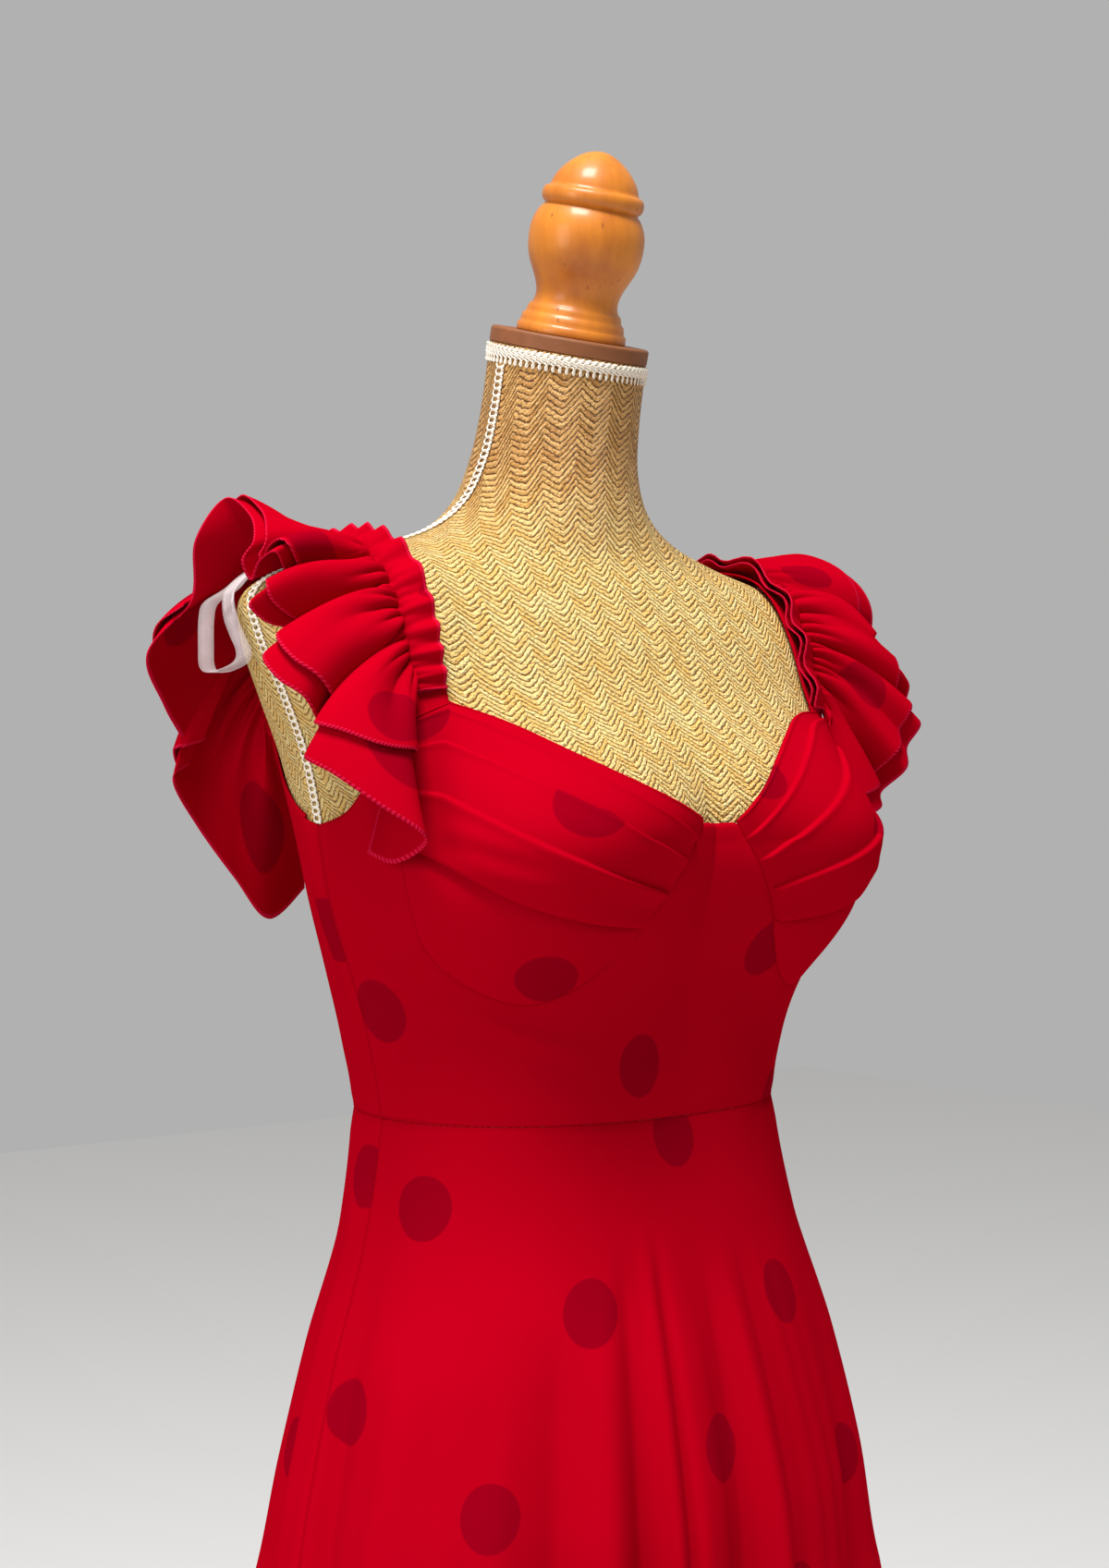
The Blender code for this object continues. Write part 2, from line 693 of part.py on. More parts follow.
def ruffle_normal(share, place):
    """The middle surface's normal, which turns gradually from the heading to the frill."""

    def at(place):
        place = min(place, 1 - step)
        across = ruffle_middle(share, place + step) - ruffle_middle(share, place - step)
        along = ruffle_middle(share + step, place) - ruffle_middle(share - step, place)
        return across.cross(along).normalized()

    step, turn = 0.005, 0.12
    if abs(place) >= turn:
        return at(place)
    t = 0.5 + 0.5 * place / turn
    return at(-turn).lerp(at(turn), t * t * (3 - 2 * t)).normalized()


def ruffle_surface(layer, side):
    """The wavy surface(place, share) of one layer, on the wearer's left."""

    def surface(place, share):
        place = place * layer.reach if place > 0 else place
        frill = max(place, 0)
        phase = wave(share, side)
        swing = blend(RUFFLE_EDGE, share * (len(RUFFLE_EDGE) - 1)).swing
        # crests and troughs are rounder than the slopes between them
        shifted = share - WAVE_ROUNDING * swing * frill * math.sin(2 * phase) / WAVES
        if place < 0:
            height = HEADING_SWING * -place * (1 + math.sin(phase))
        else:
            height = WAVE_SWING * swing * place * (1 - place + math.sin(phase))
        height += layer.lift_gather + (layer.lift_edge - layer.lift_gather) * abs(place)
        middle = ruffle_middle(shifted, place)
        middle += RUFFLE_SHIFT[side] * frill * (1 + 1.4 * (1 - share))  # most at the front
        return middle + ruffle_normal(share, place) * height

    return surface


def make_ruffle(layer, side, name):
    surface = ruffle_surface(layer, side)
    count = WAVES * WAVE_STEPS
    grids = []
    for wall in (0, RUFFLE_WALL):
        grid = []
        for place in RUFFLE_ROWS:
            row = []
            for j in range(count + 1):
                # at the gathers the wall follows the middle of the heading and the frill
                push = Vector((0, 0, 0))
                for near in (place,) if place else (-0.15, 0.15):
                    here = surface(near, j / count)
                    push += lifted(surface, near, j / count, -wall, 0.03, 0.002) - here
                point = surface(place, j / count) + push.normalized() * wall
                row.append(Vector((point.x * side, point.y, point.z)))
            grid.append(row)
        grids.append(grid)
    shell(layer.name + "_" + name, *grids, CREPE)


def make_hanger_loop(side, name):
    """A ribbon from the strap's outer edge, hanging in a loop beside the shoulder."""
    grids = ([], [])
    count = 2 * (len(HANGER_LOOP) - 1)
    rows = smooth_line(HANGER_LOOP, count + 1)
    for i, row in enumerate(rows):
        middle = Vector(row[:3])
        turn = math.radians(row[3])
        across = Vector((math.sin(turn), math.cos(turn), 0)) * RIBBON_WIDTH / 2
        ahead = Vector(rows[min(i + 1, count)][:3]) - Vector(rows[max(i - 1, 0)][:3])
        outward = ahead.cross(across).normalized() * RIBBON_WALL / 2
        for grid, push in zip(grids, (-outward, outward)):
            points = (middle - across + push, middle + across + push)
            grid.append([Vector((p.x * side, p.y, p.z)) for p in points])
    shell("hanger_loop_" + name, *grids, RIBBON)


# --------------------------------------------------------------------------- the skirt


def skirt_sections():
    """SKIRT with the waist's own section over it."""
    waist = blend(FIGURE, place_of(WAIST))
    top = waist._replace(
        half_width=waist.half_width + EASE,
        front=waist.front + EASE,
        back=waist.back + EASE,
        height=WAIST,
    )
    return [top] + SKIRT


def skirt_surface(height, angle):
    rows = skirt_sections()
    i = 0
    while i < len(rows) - 2 and rows[i + 1].height > height:
        i += 1
    share = (rows[i].height - height) / (rows[i].height - rows[i + 1].height)
    section = blend(rows, i + share)._replace(height=height)
    point = ring_point(section, angle)
    push = 0.0
    for fold in FOLDS:
        if height < fold.top:
            away = (angle - fold.angle + 180) % 360 - 180
            growth = ((fold.top - height) / (fold.top - FOLD_REFERENCE)) ** 0.85
            push += fold.depth * growth * math.exp(-0.5 * (away / fold.sigma) ** 2)
    turn = math.radians(angle)
    return point + Vector((math.sin(turn), -math.cos(turn), 0)) * push


def make_skirt(name, start, end, columns):
    heights = (WAIST, *SKIRT_HEIGHTS)
    grids = []
    for wall in (0, WALL):
        grid = [
            [
                lifted(
                    skirt_surface, height, start + (end - start) * j / columns, wall, 0.004, 0.5
                )
                for j in range(columns + 1)
            ]
            for height in heights
        ]
        grids.append(trimmed(grid, ("low", "first", "last")))
    shell(name, *grids, CREPE)


# -------------------------------------------------------------------------------- main


def main():
    make_form()
    make_neck_pieces()
    neck_place = make_neck_braid()
    make_stand()
    make_bodice_front()
    for side, name in ((1, "left"), (-1, "right")):
        make_side_braid(side, "side_braid_" + name, neck_place)
        make_cups(side, name)
        make_back(side, name)
        make_strap(side, name)
        make_hanger_loop(side, name)
        for layer in LAYERS:
            make_ruffle(layer, side, name)
    make_skirt("skirt_front", -90, 90, FRONT_COLUMNS)
    make_skirt("skirt_back_left", 90, 180, BACK_COLUMNS)
    make_skirt("skirt_back_right", -180, -90, BACK_COLUMNS)


clear_scene()
PARTS = bpy.data.collections.new("Flamenco dress on form")
bpy.context.scene.collection.children.link(PARTS)
CREPE = finish("Red crepe", "#B30016", 0.55)
STRAW = finish("Woven straw", "#D9A94F", 0.80)
BRAID = finish("Cotton gimp braid", "#E6DCCF", 0.75)
RIBBON = finish("Clear ribbon", "#E9E4E0", 0.30)
LACQUERED_WOOD = finish("Lacquered beech", "#C9782F", 0.25)
DARK_WOOD = finish("Stained wood", "#7A4A2A", 0.50)
FIGURE_NET = figure_tree()
main()
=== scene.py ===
"""A flamenco dress in red crepe on a straw-covered dress form, dressed over its frame."""

import functools
import math
from collections import namedtuple

import bmesh
import bpy
from mathutils import Matrix, Vector
from mathutils.bvhtree import BVHTree


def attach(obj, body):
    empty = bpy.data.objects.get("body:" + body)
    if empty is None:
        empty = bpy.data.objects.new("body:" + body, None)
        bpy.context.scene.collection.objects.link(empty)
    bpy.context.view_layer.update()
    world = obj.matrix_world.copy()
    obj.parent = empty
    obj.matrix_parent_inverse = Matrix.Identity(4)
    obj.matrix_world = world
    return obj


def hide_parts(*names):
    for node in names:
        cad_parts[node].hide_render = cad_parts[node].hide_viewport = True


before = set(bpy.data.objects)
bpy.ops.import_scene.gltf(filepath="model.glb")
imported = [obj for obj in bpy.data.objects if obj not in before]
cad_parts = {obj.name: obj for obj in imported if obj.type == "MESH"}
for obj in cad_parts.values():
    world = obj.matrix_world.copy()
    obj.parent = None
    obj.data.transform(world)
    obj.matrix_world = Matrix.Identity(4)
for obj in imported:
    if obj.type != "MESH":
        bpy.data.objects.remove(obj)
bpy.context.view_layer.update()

# ------------------------------------------------------------------------------- sizes
# All lengths are in metres. The dress stands as its frame does: +X is the wearer's left
# and -Y is the front.

EASE = 0.0013  # gap between the form and the bodice
CLOTH = 0.0009  # thickness of the crepe as it is drawn
WALL = 0.0014  # thickness of a solid's wall
SEAM = 0.0003
BRIDGE = 0.0045  # more ease where the gore spans the hollow between the cups
CUP_FULLNESS = 0.004
BRAID_RISE = 0.0012
BRAID_GAP = 0.0007
STRAP_GAP = BRAID_GAP + BRAID_RISE + 0.0008

WAIST = 1.052
HEM = 0.050
FOLD_REFERENCE = 0.777


def table(kind, *rows):
    """Rows of numbers under the names of their columns."""
    return [kind(*row) for row in rows]


# The figure, row by row from the hips to the top of the neck. front and back are depths
# from centre_y, lean tips the ring forward in degrees, and square is the exponent of the
# section: 2 is an ellipse.
Section = namedtuple("Section", "height half_width front back centre_y lean square")
FIGURE = table(
    Section,
    (0.800, 0.152, 0.104, 0.108, 0.000, 0, 2.20),
    (0.860, 0.156, 0.106, 0.111, 0.000, 0, 2.20),
    (0.920, 0.148, 0.103, 0.105, 0.000, 0, 2.20),
    (0.985, 0.1335, 0.096, 0.095, 0.000, 0, 2.20),
    (1.050, 0.1275, 0.095, 0.095, 0.000, 0, 2.25),
    (1.090, 0.1335, 0.096, 0.098, 0.000, 0, 2.30),
    (1.130, 0.143, 0.101, 0.102, 0.000, 0, 2.35),
    (1.170, 0.154, 0.108, 0.106, 0.000, 0, 2.35),
    (1.210, 0.163, 0.114, 0.111, 0.000, 0, 2.35),
    (1.250, 0.172, 0.104, 0.112, 0.005, 0, 2.35),
    (1.285, 0.184, 0.091, 0.110, 0.011, 0, 2.35),
    (1.315, 0.195, 0.084, 0.101, 0.017, 0, 2.30),
    (1.338, 0.196, 0.076, 0.085, 0.022, 0, 2.20),
    (1.353, 0.172, 0.069, 0.068, 0.024, 0, 2.10),
    (1.365, 0.126, 0.062, 0.058, 0.023, 0, 2.05),
    (1.379, 0.085, 0.057, 0.053, 0.020, 1, 2.00),
    (1.397, 0.0615, 0.0535, 0.0500, 0.0170, 4, 2.00),
    (1.422, 0.0505, 0.0485, 0.0480, 0.0120, 9, 2.00),
    (1.450, 0.0470, 0.0462, 0.0462, 0.0060, 13, 2.00),
    (1.4865, 0.0462, 0.0462, 0.0462, -0.0013, 15.6, 2.00),
)
BUST = dict(side=0.079, height=1.196, rise=0.043, across=0.044, above=0.046, below=0.040)

# Seams of the bodice on the wearer's left, as (angle, height); the right side mirrors them
GORE_TOP = [(0.0, 1.2140), (6.2, 1.2145)]
GORE_SEAM = [(6.2, 1.2145), (21.5, 1.1620)]
GORE_POINT = [(21.5, 1.1620), (23.0, 1.1560)]
UNDER_BUST = [
    (23.0, 1.1560), (31.0, 1.1370), (40.0, 1.1240), (49.0, 1.1190), (58.0, 1.1260),
    (64.5, 1.1380), (68.0, 1.1520),
]
CUP_SIDE_LOW = [(68.0, 1.1520), (69.5, 1.2060)]
CUP_SIDE_HIGH = [(69.5, 1.2060), (70.5, 1.2620)]
ARMHOLE_FRONT = [(70.5, 1.2620), (75.0, 1.2370), (81.0, 1.2200), (90.0, 1.2130)]
CUP_FOLD = [(69.5, 1.2060), (60.0, 1.1930), (48.0, 1.1760), (35.0, 1.1660), (21.5, 1.1620)]
STRAP_FRONT = [(70.5, 1.2620), (60.0, 1.2760)]
NECKLINE = [(60.0, 1.2760), (49.0, 1.2640), (36.0, 1.2470), (21.0, 1.2290), (6.2, 1.2145)]
NECKLINE_LEFT = [
    (60.0, 1.2760), (49.0, 1.2735), (37.0, 1.2620), (22.0, 1.2430), (6.2, 1.2145)
]
ARMHOLE_BACK = [(90.0, 1.2130), (100.0, 1.2230), (108.5, 1.2430), (114.0, 1.2700)]
STRAP_BACK = [(114.0, 1.2700), (127.5, 1.2750)]
BACK_NECKLINE = [(127.5, 1.2750), (140.0, 1.2520), (158.0, 1.2330), (180.0, 1.2270)]
PLEATS = (0.27, 0.52, 0.76)  # places of the inner pleat folds, from the neckline down
# where the folds end on the cup's side and on the gore, as shares of the way up
PLEAT_ENDS = ((0.45, 0.32), (0.79, 0.61), (0.985, 0.84))
PLEAT_LEVELS = (  # rows of the net over one pleat, closer at its fold
    0, 0.06, 0.13, 0.21, 0.30, 0.39, 0.48, 0.57, 0.66, 0.74, 0.81, 0.87, 0.91, 0.94, 0.96,
    0.972, 0.984, 1.0,
)
PLEAT_RISE = 0.0031
PLEAT_DEPTH = 0.018  # of cloth that each fold takes up on the print

# The skirt under the waist seam, and its folds: sigma is half a fold's width in degrees,
# depth is outwards at FOLD_REFERENCE, and top is the height where the fold starts.
SKIRT = table(
    Section,
    (0.985, 0.1385, 0.114, 0.1000, 0, 0, 2.20),
    (0.920, 0.1570, 0.135, 0.1150, 0, 0, 2.15),
    (0.850, 0.1720, 0.152, 0.1300, 0, 0, 2.10),
    (0.777, 0.1855, 0.160, 0.1450, 0, 0, 2.05),
    (0.650, 0.2120, 0.186, 0.1720, 0, 0, 2.00),
    (0.500, 0.2410, 0.216, 0.2060, 0, 0, 2.00),
    (0.350, 0.2730, 0.247, 0.2420, 0, 0, 2.00),
    (0.200, 0.3070, 0.280, 0.2780, 0, 0, 2.00),
    (HEM, 0.3430, 0.314, 0.3140, 0, 0, 2.00),
)
Fold = namedtuple("Fold", "angle sigma depth top")
FOLDS = table(
    Fold,
    (-90, 3.6, 0.0060, 1.02),
    (-82, 3.8, -0.0085, 1.02),
    (-61, 10.0, 0.0065, 0.99),
    (-41, 5.0, -0.0085, 0.95),
    (-31, 4.5, 0.0040, 0.95),
    (-21, 4.2, -0.0080, 0.98),
    (-11, 4.0, 0.0085, 1.00),
    (-2, 3.8, -0.0070, 0.98),
    (9, 5.0, 0.0050, 0.98),
    (20, 4.2, -0.0060, 0.99),
    (30, 4.5, 0.0060, 0.99),
    (42, 5.0, -0.0080, 0.97),
    (57, 7.0, 0.0070, 0.98),
    (72, 5.0, -0.0080, 0.97),
    (90, 6.0, 0.0070, 1.03),
    (106, 5.5, -0.0080, 0.98),
    (123, 7.0, 0.0075, 0.99),
    (139, 5.5, -0.0085, 0.96),
    (154, 6.0, 0.0070, 0.98),
    (168, 4.8, -0.0070, 0.97),
    (180, 4.5, 0.0060, 1.00),
    (-168, 4.8, -0.0075, 0.98),
    (-153, 6.5, 0.0070, 0.97),
    (-137, 5.5, -0.0080, 0.98),
    (-121, 6.5, 0.0075, 0.98),
    (-104, 5.0, -0.0080, 1.00),
)

# A crease is a soft ridge (or groove, below 0) from one place of a piece to another. On the
# bodice the places are (degrees, millimetres up), on the skirt (degrees, centimetres up)
# and on a cup (u, v).
Crease = namedtuple("Crease", "u0 v0 u1 v1 width height")
FRONT_CREASES = table(Crease, (-66, 1118, -38, 1092, 4.0, 0.0024))
CUP_CREASES = table(
    Crease,
    (0.35, 0.06, 0.68, 0.13, 0.022, 0.0019),
    (0.22, 0.11, 0.52, 0.19, 0.020, 0.0014),
)
SKIRT_CREASES = table(
    Crease,
    (-97, 98, -100, 60, 2.6, 0.0050),
    (-86, 94, -87, 52, 2.0, -0.0042),
    (-80, 94, -81, 52, 2.4, 0.0030),
    (-72, 90, -74, 55, 2.6, 0.0030),
    (-64, 88, -65, 50, 2.2, -0.0032),
    (-50, 88, -50, 50, 2.6, 0.0034),
    (-40, 90, -38, 50, 2.4, -0.0040),
    (-29, 92, -28, 50, 2.2, 0.0030),
    (-24, 95, -22, 50, 1.6, -0.0044),
    (-17, 96, -15.5, 50, 1.5, 0.0050),
    (-14, 96, -12.0, 50, 1.3, -0.0044),
    (-6, 92, -4, 50, 1.8, 0.0026),
    (1, 94, 3, 50, 1.6, -0.0034),
    (8, 94, 10, 50, 1.6, 0.0034),
    (14, 95, 16, 50, 1.5, -0.0034),
    (21, 95, 24, 50, 1.8, 0.0034),
    (30, 92, 33, 50, 1.8, -0.0034),
    (48, 90, 50, 50, 2.4, 0.0030),
)
SKIRT_CREASE_TOP = 1.0
SKIRT_CREASE_DEPTH = 1.4  # times the table's heights

# The shoulder straps lie on the form in planes of constant x, at elevations seen from
# (STRAP_PIVOT) in degrees: 0 looks to the front, 90 up and 180 to the back.
STRAP_PIVOT = (0.015, 1.270)  # y, z
STRAP_START = 8.0
STRAP_END = 176.0
STRAP_INNER = 0.130
STRAP_OUTER = 0.158
GATHER_X = 0.146  # the ruffles' gathering line
GATHER_START = {1: 5.5, -1: 9.0}
GATHER_END = 184.0

Layer = namedtuple("Layer", "name reach lift_gather lift_edge")
LAYERS = (
    Layer("ruffle_under", 1.00, 0.0, 0.0),
    Layer("ruffle_top", 0.86, 0.0022, 0.0040),
)
HEADING = 0.018
HEADING_SWING = {1: 0.0027, -1: 0.0026}
RUFFLE_COLUMNS = 432
RUFFLE_DEPTH = 0.085  # of the under layer, from the stitches to the free edge
STRIP_LENGTH = 0.56  # stated to suit the modelled ruffle; a real strip may be longer
GATHERS = 44
SCALLOPS = {1: 9, -1: 17}
END_SHORT = {1: 0.0, -1: 0.42}  # how much less the top layer reaches at its front end
# The free edge of each ruffle from its front end to its back end: share is the place along
# the strip, across and away are as the wearer's right front sees it, and stand is how far
# the cloth stands up between the gathers and the edge.
Hem = namedtuple("Hem", "share across away height stand")
HEMS = {
    -1: table(
        Hem,
        (0.000, -0.103, -0.150, 1.199, 0.02),
        (0.022, -0.089, -0.155, 1.194, 0.08),
        (0.042, -0.073, -0.175, 1.202, 0.14),
        (0.060, -0.072, -0.188, 1.210, 0.20),
        (0.088, -0.093, -0.192, 1.224, 0.26),
        (0.115, -0.117, -0.187, 1.240, 0.28),
        (0.138, -0.132, -0.178, 1.248, 0.26),
        (0.153, -0.129, -0.153, 1.254, 0.12),
        (0.166, -0.126, -0.157, 1.261, 0.14),
        (0.187, -0.132, -0.175, 1.278, 0.26),
        (0.206, -0.146, -0.175, 1.288, 0.30),
        (0.228, -0.155, -0.165, 1.300, 0.28),
        (0.247, -0.147, -0.150, 1.309, 0.16),
        (0.264, -0.142, -0.130, 1.316, 0.06),
        (0.284, -0.156, -0.143, 1.319, 0.18),
        (0.303, -0.164, -0.152, 1.328, 0.30),
        (0.322, -0.154, -0.143, 1.336, 0.26),
        (0.340, -0.148, -0.118, 1.340, 0.08),
        (0.354, -0.149, -0.128, 1.348, 0.16),
        (0.370, -0.152, -0.142, 1.356, 0.34),
        (0.388, -0.162, -0.130, 1.352, 0.30),
        (0.404, -0.169, -0.112, 1.344, 0.10),
        (0.420, -0.173, -0.116, 1.354, 0.20),
        (0.438, -0.167, -0.115, 1.365, 0.28),
        (0.462, -0.171, -0.100, 1.380, 0.32),
        (0.498, -0.187, -0.085, 1.391, 0.32),
        (0.550, -0.203, -0.085, 1.368, 0.28),
        (0.595, -0.207, -0.076, 1.336, 0.14),
        (0.645, -0.229, -0.085, 1.306, 0.30),
        (0.700, -0.224, -0.060, 1.278, 0.26),
        (0.755, -0.214, -0.034, 1.250, 0.06),
        (0.790, -0.222, -0.045, 1.237, 0.22),
        (0.845, -0.212, -0.020, 1.210, 0.22),
        (0.905, -0.194, 0.000, 1.180, 0.16),
        (0.955, -0.177, 0.020, 1.155, 0.04),
        (1.000, -0.159, 0.048, 1.172, -0.08),
    ),
    1: table(
        Hem,
        (0.000, 0.172, 0.035, 1.212, -0.14),
        (0.040, 0.191, 0.055, 1.220, 0.10),
        (0.070, 0.195, 0.078, 1.230, 0.00),
        (0.105, 0.208, 0.062, 1.244, 0.14),
        (0.135, 0.211, 0.078, 1.258, 0.12),
        (0.165, 0.219, 0.076, 1.272, 0.18),
        (0.195, 0.212, 0.090, 1.283, 0.17),
        (0.225, 0.213, 0.082, 1.297, 0.24),
        (0.255, 0.204, 0.078, 1.308, 0.32),
        (0.285, 0.192, 0.074, 1.320, 0.42),
        (0.310, 0.181, 0.078, 1.332, 0.50),
        (0.332, 0.174, 0.092, 1.337, 0.46),
        (0.348, 0.178, 0.112, 1.328, 0.16),
        (0.366, 0.193, 0.136, 1.322, -0.06),
        (0.404, 0.196, 0.126, 1.343, 0.14),
        (0.450, 0.189, 0.125, 1.360, 0.26),
        (0.495, 0.174, 0.137, 1.374, 0.28),
        (0.545, 0.155, 0.152, 1.381, 0.28),
        (0.595, 0.134, 0.170, 1.376, 0.24),
        (0.640, 0.130, 0.182, 1.352, 0.16),
        (0.685, 0.111, 0.182, 1.330, 0.10),
        (0.740, 0.123, 0.203, 1.300, 0.24),
        (0.795, 0.094, 0.197, 1.268, 0.10),
        (0.850, 0.091, 0.217, 1.235, 0.22),
        (0.900, 0.066, 0.195, 1.206, 0.10),
        (0.950, 0.043, 0.205, 1.178, 0.16),
        (1.000, 0.015, 0.179, 1.157, 0.05),
    ),
}

# The ribbon loops on the wearer's left: turn is the ribbon's width from along y to along x
RIBBON_WIDTH = 0.0085
RIBBON_THICKNESS = 0.0006  # as it is drawn
RIBBON_LENGTH = 0.20
HANGER_LOOP = [  # (x, y, z, turn)
    (0.1600, 0.020, 1.3615, 0), (0.1780, 0.022, 1.3570, 0), (0.1960, 0.027, 1.3490, 10),
    (0.2045, 0.032, 1.3400, 40), (0.2125, 0.039, 1.3330, 52), (0.2145, 0.041, 1.3250, 52),
    (0.2148, 0.041, 1.3080, 52), (0.2143, 0.041, 1.2990, 52), (0.2120, 0.039, 1.2955, 60),
    (0.2060, 0.035, 1.2965, 75), (0.1995, 0.030, 1.3010, 60), (0.1985, 0.029, 1.3070, 52),
    (0.2010, 0.032, 1.3160, 45), (0.2030, 0.036, 1.3270, 30), (0.1990, 0.043, 1.3400, 10),
    (0.1860, 0.044, 1.3520, 0), (0.1720, 0.042, 1.3570, 0), (0.1600, 0.040, 1.3590, 0),
]

# The print of the cloth and the plaits of the straw
SPOT_PITCH = 0.163  # side of the square net that the spots lie on
SPOT_WIDTH = 0.035
PLAIT_PITCH = 0.0096  # half a herringbone: from its point to its valley
STRAND_PITCH = 0.0039
CUP_CLOTH_RISE = 1.3  # cloth to each metre up a cup, which slopes

# Where each piece lies on the spotted cloth: its corner, its turn in degrees, and for the
# skirt the angle at the middle of the panel
Spot = namedtuple("Spot", "x y turn middle", defaults=(0.0, 0.0))
SPOTS = {
    "bodice_front": Spot(0.040, 0.140, 11.0),
    "bodice_back_left": Spot(0.05, 0.03),
    "bodice_back_right": Spot(0.140, 0.140),
    "cup_lower_left": Spot(0.0, 0.0),
    "cup_lower_right": Spot(0.032, 0.140),
    "cup_upper_left": Spot(0.040, -0.051),
    "cup_upper_right": Spot(0.016, 0.008),
    "ruffle_under_left": Spot(0.0, 0.03),
    "ruffle_top_left": Spot(0.0, 0.044),
    "ruffle_under_right": Spot(0.04, 0.03),
    "ruffle_top_right": Spot(0.04, 0.03),
    "skirt_front": Spot(0.056, 0.132, 3.0),
    "skirt_back_left": Spot(0.03, 0.05, 5.0, 135),
    "skirt_back_right": Spot(0.068, 0.140, 0.0, -135),
}
CONE_SLANT = 1.31  # from a cone's point to the hem, and to the waist, along the cloth
WAIST_SLANT = 0.29
CONE_SHARE = 0.408  # of a turn that the cone takes when it is laid flat

# The form's trim, the finial and the stand
NECK_TOP = Vector((0.0, -0.0013, 1.4865))
CAP_RADIUS = 0.0465
CAP_HEIGHT = 0.0090
NECK_BRAID_WIDTH = 0.0125
BASE_RADIUS = 0.190
BASE_HEIGHT = 0.028
POLE_RADIUS = 0.017
COLLAR_RADIUS = 0.045
COLLAR_HEIGHT = 0.020
GIMP_STEPS = 12  # straight pieces in each loop of a cord
NECK_GIRTH = 0.296
NECK_PLACE_LENGTH = 0.037  # of one place of FIGURE at the neck
GIMP_PITCH = 0.0040
KNOB_SCALE = 0.925
KNOB = [  # (radius, height over the cap before it is scaled)
    (0.0, 0.0), (0.0320, 0.0000), (0.0322, 0.0006), (0.0319, 0.0046), (0.0310, 0.0054),
    (0.0306, 0.0060), (0.0303, 0.0080), (0.0296, 0.0108), (0.0285, 0.0118), (0.0281, 0.0124),
    (0.0277, 0.0142), (0.0270, 0.0166), (0.0258, 0.0176), (0.0252, 0.0186), (0.0245, 0.0205),
    (0.0241, 0.0230), (0.0242, 0.0255), (0.0248, 0.0285), (0.0263, 0.0330), (0.0286, 0.0380),
    (0.0308, 0.0430), (0.0324, 0.0480), (0.0333, 0.0530), (0.0336, 0.0580), (0.0336, 0.0620),
    (0.0332, 0.0660), (0.0322, 0.0700), (0.0306, 0.0738), (0.0288, 0.0766), (0.0274, 0.0782),
    (0.0271, 0.0790), (0.0276, 0.0796), (0.0286, 0.0804), (0.0294, 0.0820), (0.0297, 0.0840),
    (0.0296, 0.0860), (0.0291, 0.0878), (0.0280, 0.0892), (0.0266, 0.0898), (0.0258, 0.0903),
    (0.0253, 0.0922), (0.0243, 0.0952), (0.0227, 0.0983), (0.0207, 0.1012), (0.0184, 0.1040),
    (0.0157, 0.1067), (0.0131, 0.1089), (0.0102, 0.1109), (0.0070, 0.1126), (0.0036, 0.1137),
    (0.0, 0.1140),
]
NECK_LEAN_DEGREES = 15.6

# The viewing angle and distance
VIEW_TURN = 38
VIEW_DISTANCE = 1.30
VIEW_HEIGHT = 1.235
VIEW_PIXELS = (1200, 1697)
FOCAL_PIXELS = 2407
SHIFT_PIXELS = -13


def blend(rows, place):
    """The row at a fractional place, on a smooth curve through the rows."""
    last = len(rows) - 1
    place = min(max(place, 0.0), float(last))
    i = min(int(place), last - 1)
    t = place - i
    near = (rows[max(i - 1, 0)], rows[i], rows[i + 1], rows[min(i + 2, last)])
    values = (
        b + 0.5 * t * (c - a + t * (2 * a - 5 * b + 4 * c - d + t * (3 * (b - c) + d - a)))
        for a, b, c, d in zip(*near)
    )
    return type(rows[0])(*values) if hasattr(rows[0], "_fields") else tuple(values)


def ring_point(section, angle):
    """The point of a section at an angle in degrees, before the bust is added."""
    s, c = math.sin(math.radians(angle)), math.cos(math.radians(angle))
    depth = section.front if c > 0 else section.back
    n = section.square
    reach = ((abs(s) / section.half_width) ** n + (abs(c) / depth) ** n) ** (-1 / n)
    lean = math.radians(section.lean)
    across, along = reach * s, -reach * c
    return Vector(
        (
            across,
            section.centre_y + along * math.cos(lean),
            section.height + along * math.sin(lean),
        )
    )


def bust(point, angle):
    """The push of the bust at a point of the ribcage."""
    if abs(angle) > 95:
        return Vector((0, 0, 0))
    across = (abs(point.x) - BUST["side"]) / BUST["across"]
    if across < 0:  # the hollow between the cups fills in above them
        across *= 1 - 0.45 * min(max((point.z - 1.205) / 0.045, 0), 1)
    spread = BUST["above"] if point.z > BUST["height"] else BUST["below"]
    upward = (point.z - BUST["height"]) / spread
    push = BUST["rise"] * math.exp(-0.5 * (across * across + upward * upward))
    turn = math.radians(angle * 0.75)
    return Vector((math.sin(turn), -math.cos(turn), 0)) * push


def figure(place, angle):
    """The figure's point at a place in FIGURE and an angle within -180..180."""
    angle = (angle + 180) % 360 - 180
    point = ring_point(blend(FIGURE, place), angle)
    return point + bust(point, angle)


@functools.lru_cache(maxsize=None)
def place_of(height):
    """The place in FIGURE at a height."""
    low, high = 0.0, len(FIGURE) - 1.0
    for _ in range(40):
        middle = 0.5 * (low + high)
        if blend(FIGURE, middle).height < height:
            low = middle
        else:
            high = middle
    return low


def lifted(surface, u, v, lift, step_u=0.02, step_v=0.5):
    """The point of surface(u, v), moved out along the surface's normal."""
    along_u = surface(u + step_u, v) - surface(u - step_u, v)
    along_v = surface(u, v + step_v) - surface(u, v - step_v)
    return surface(u, v) + along_v.cross(along_u).normalized() * lift


def skin(angle, height, lift):
    """A point over the figure, lifted off it."""
    return lifted(figure, place_of(round(height, 6)), angle, lift)


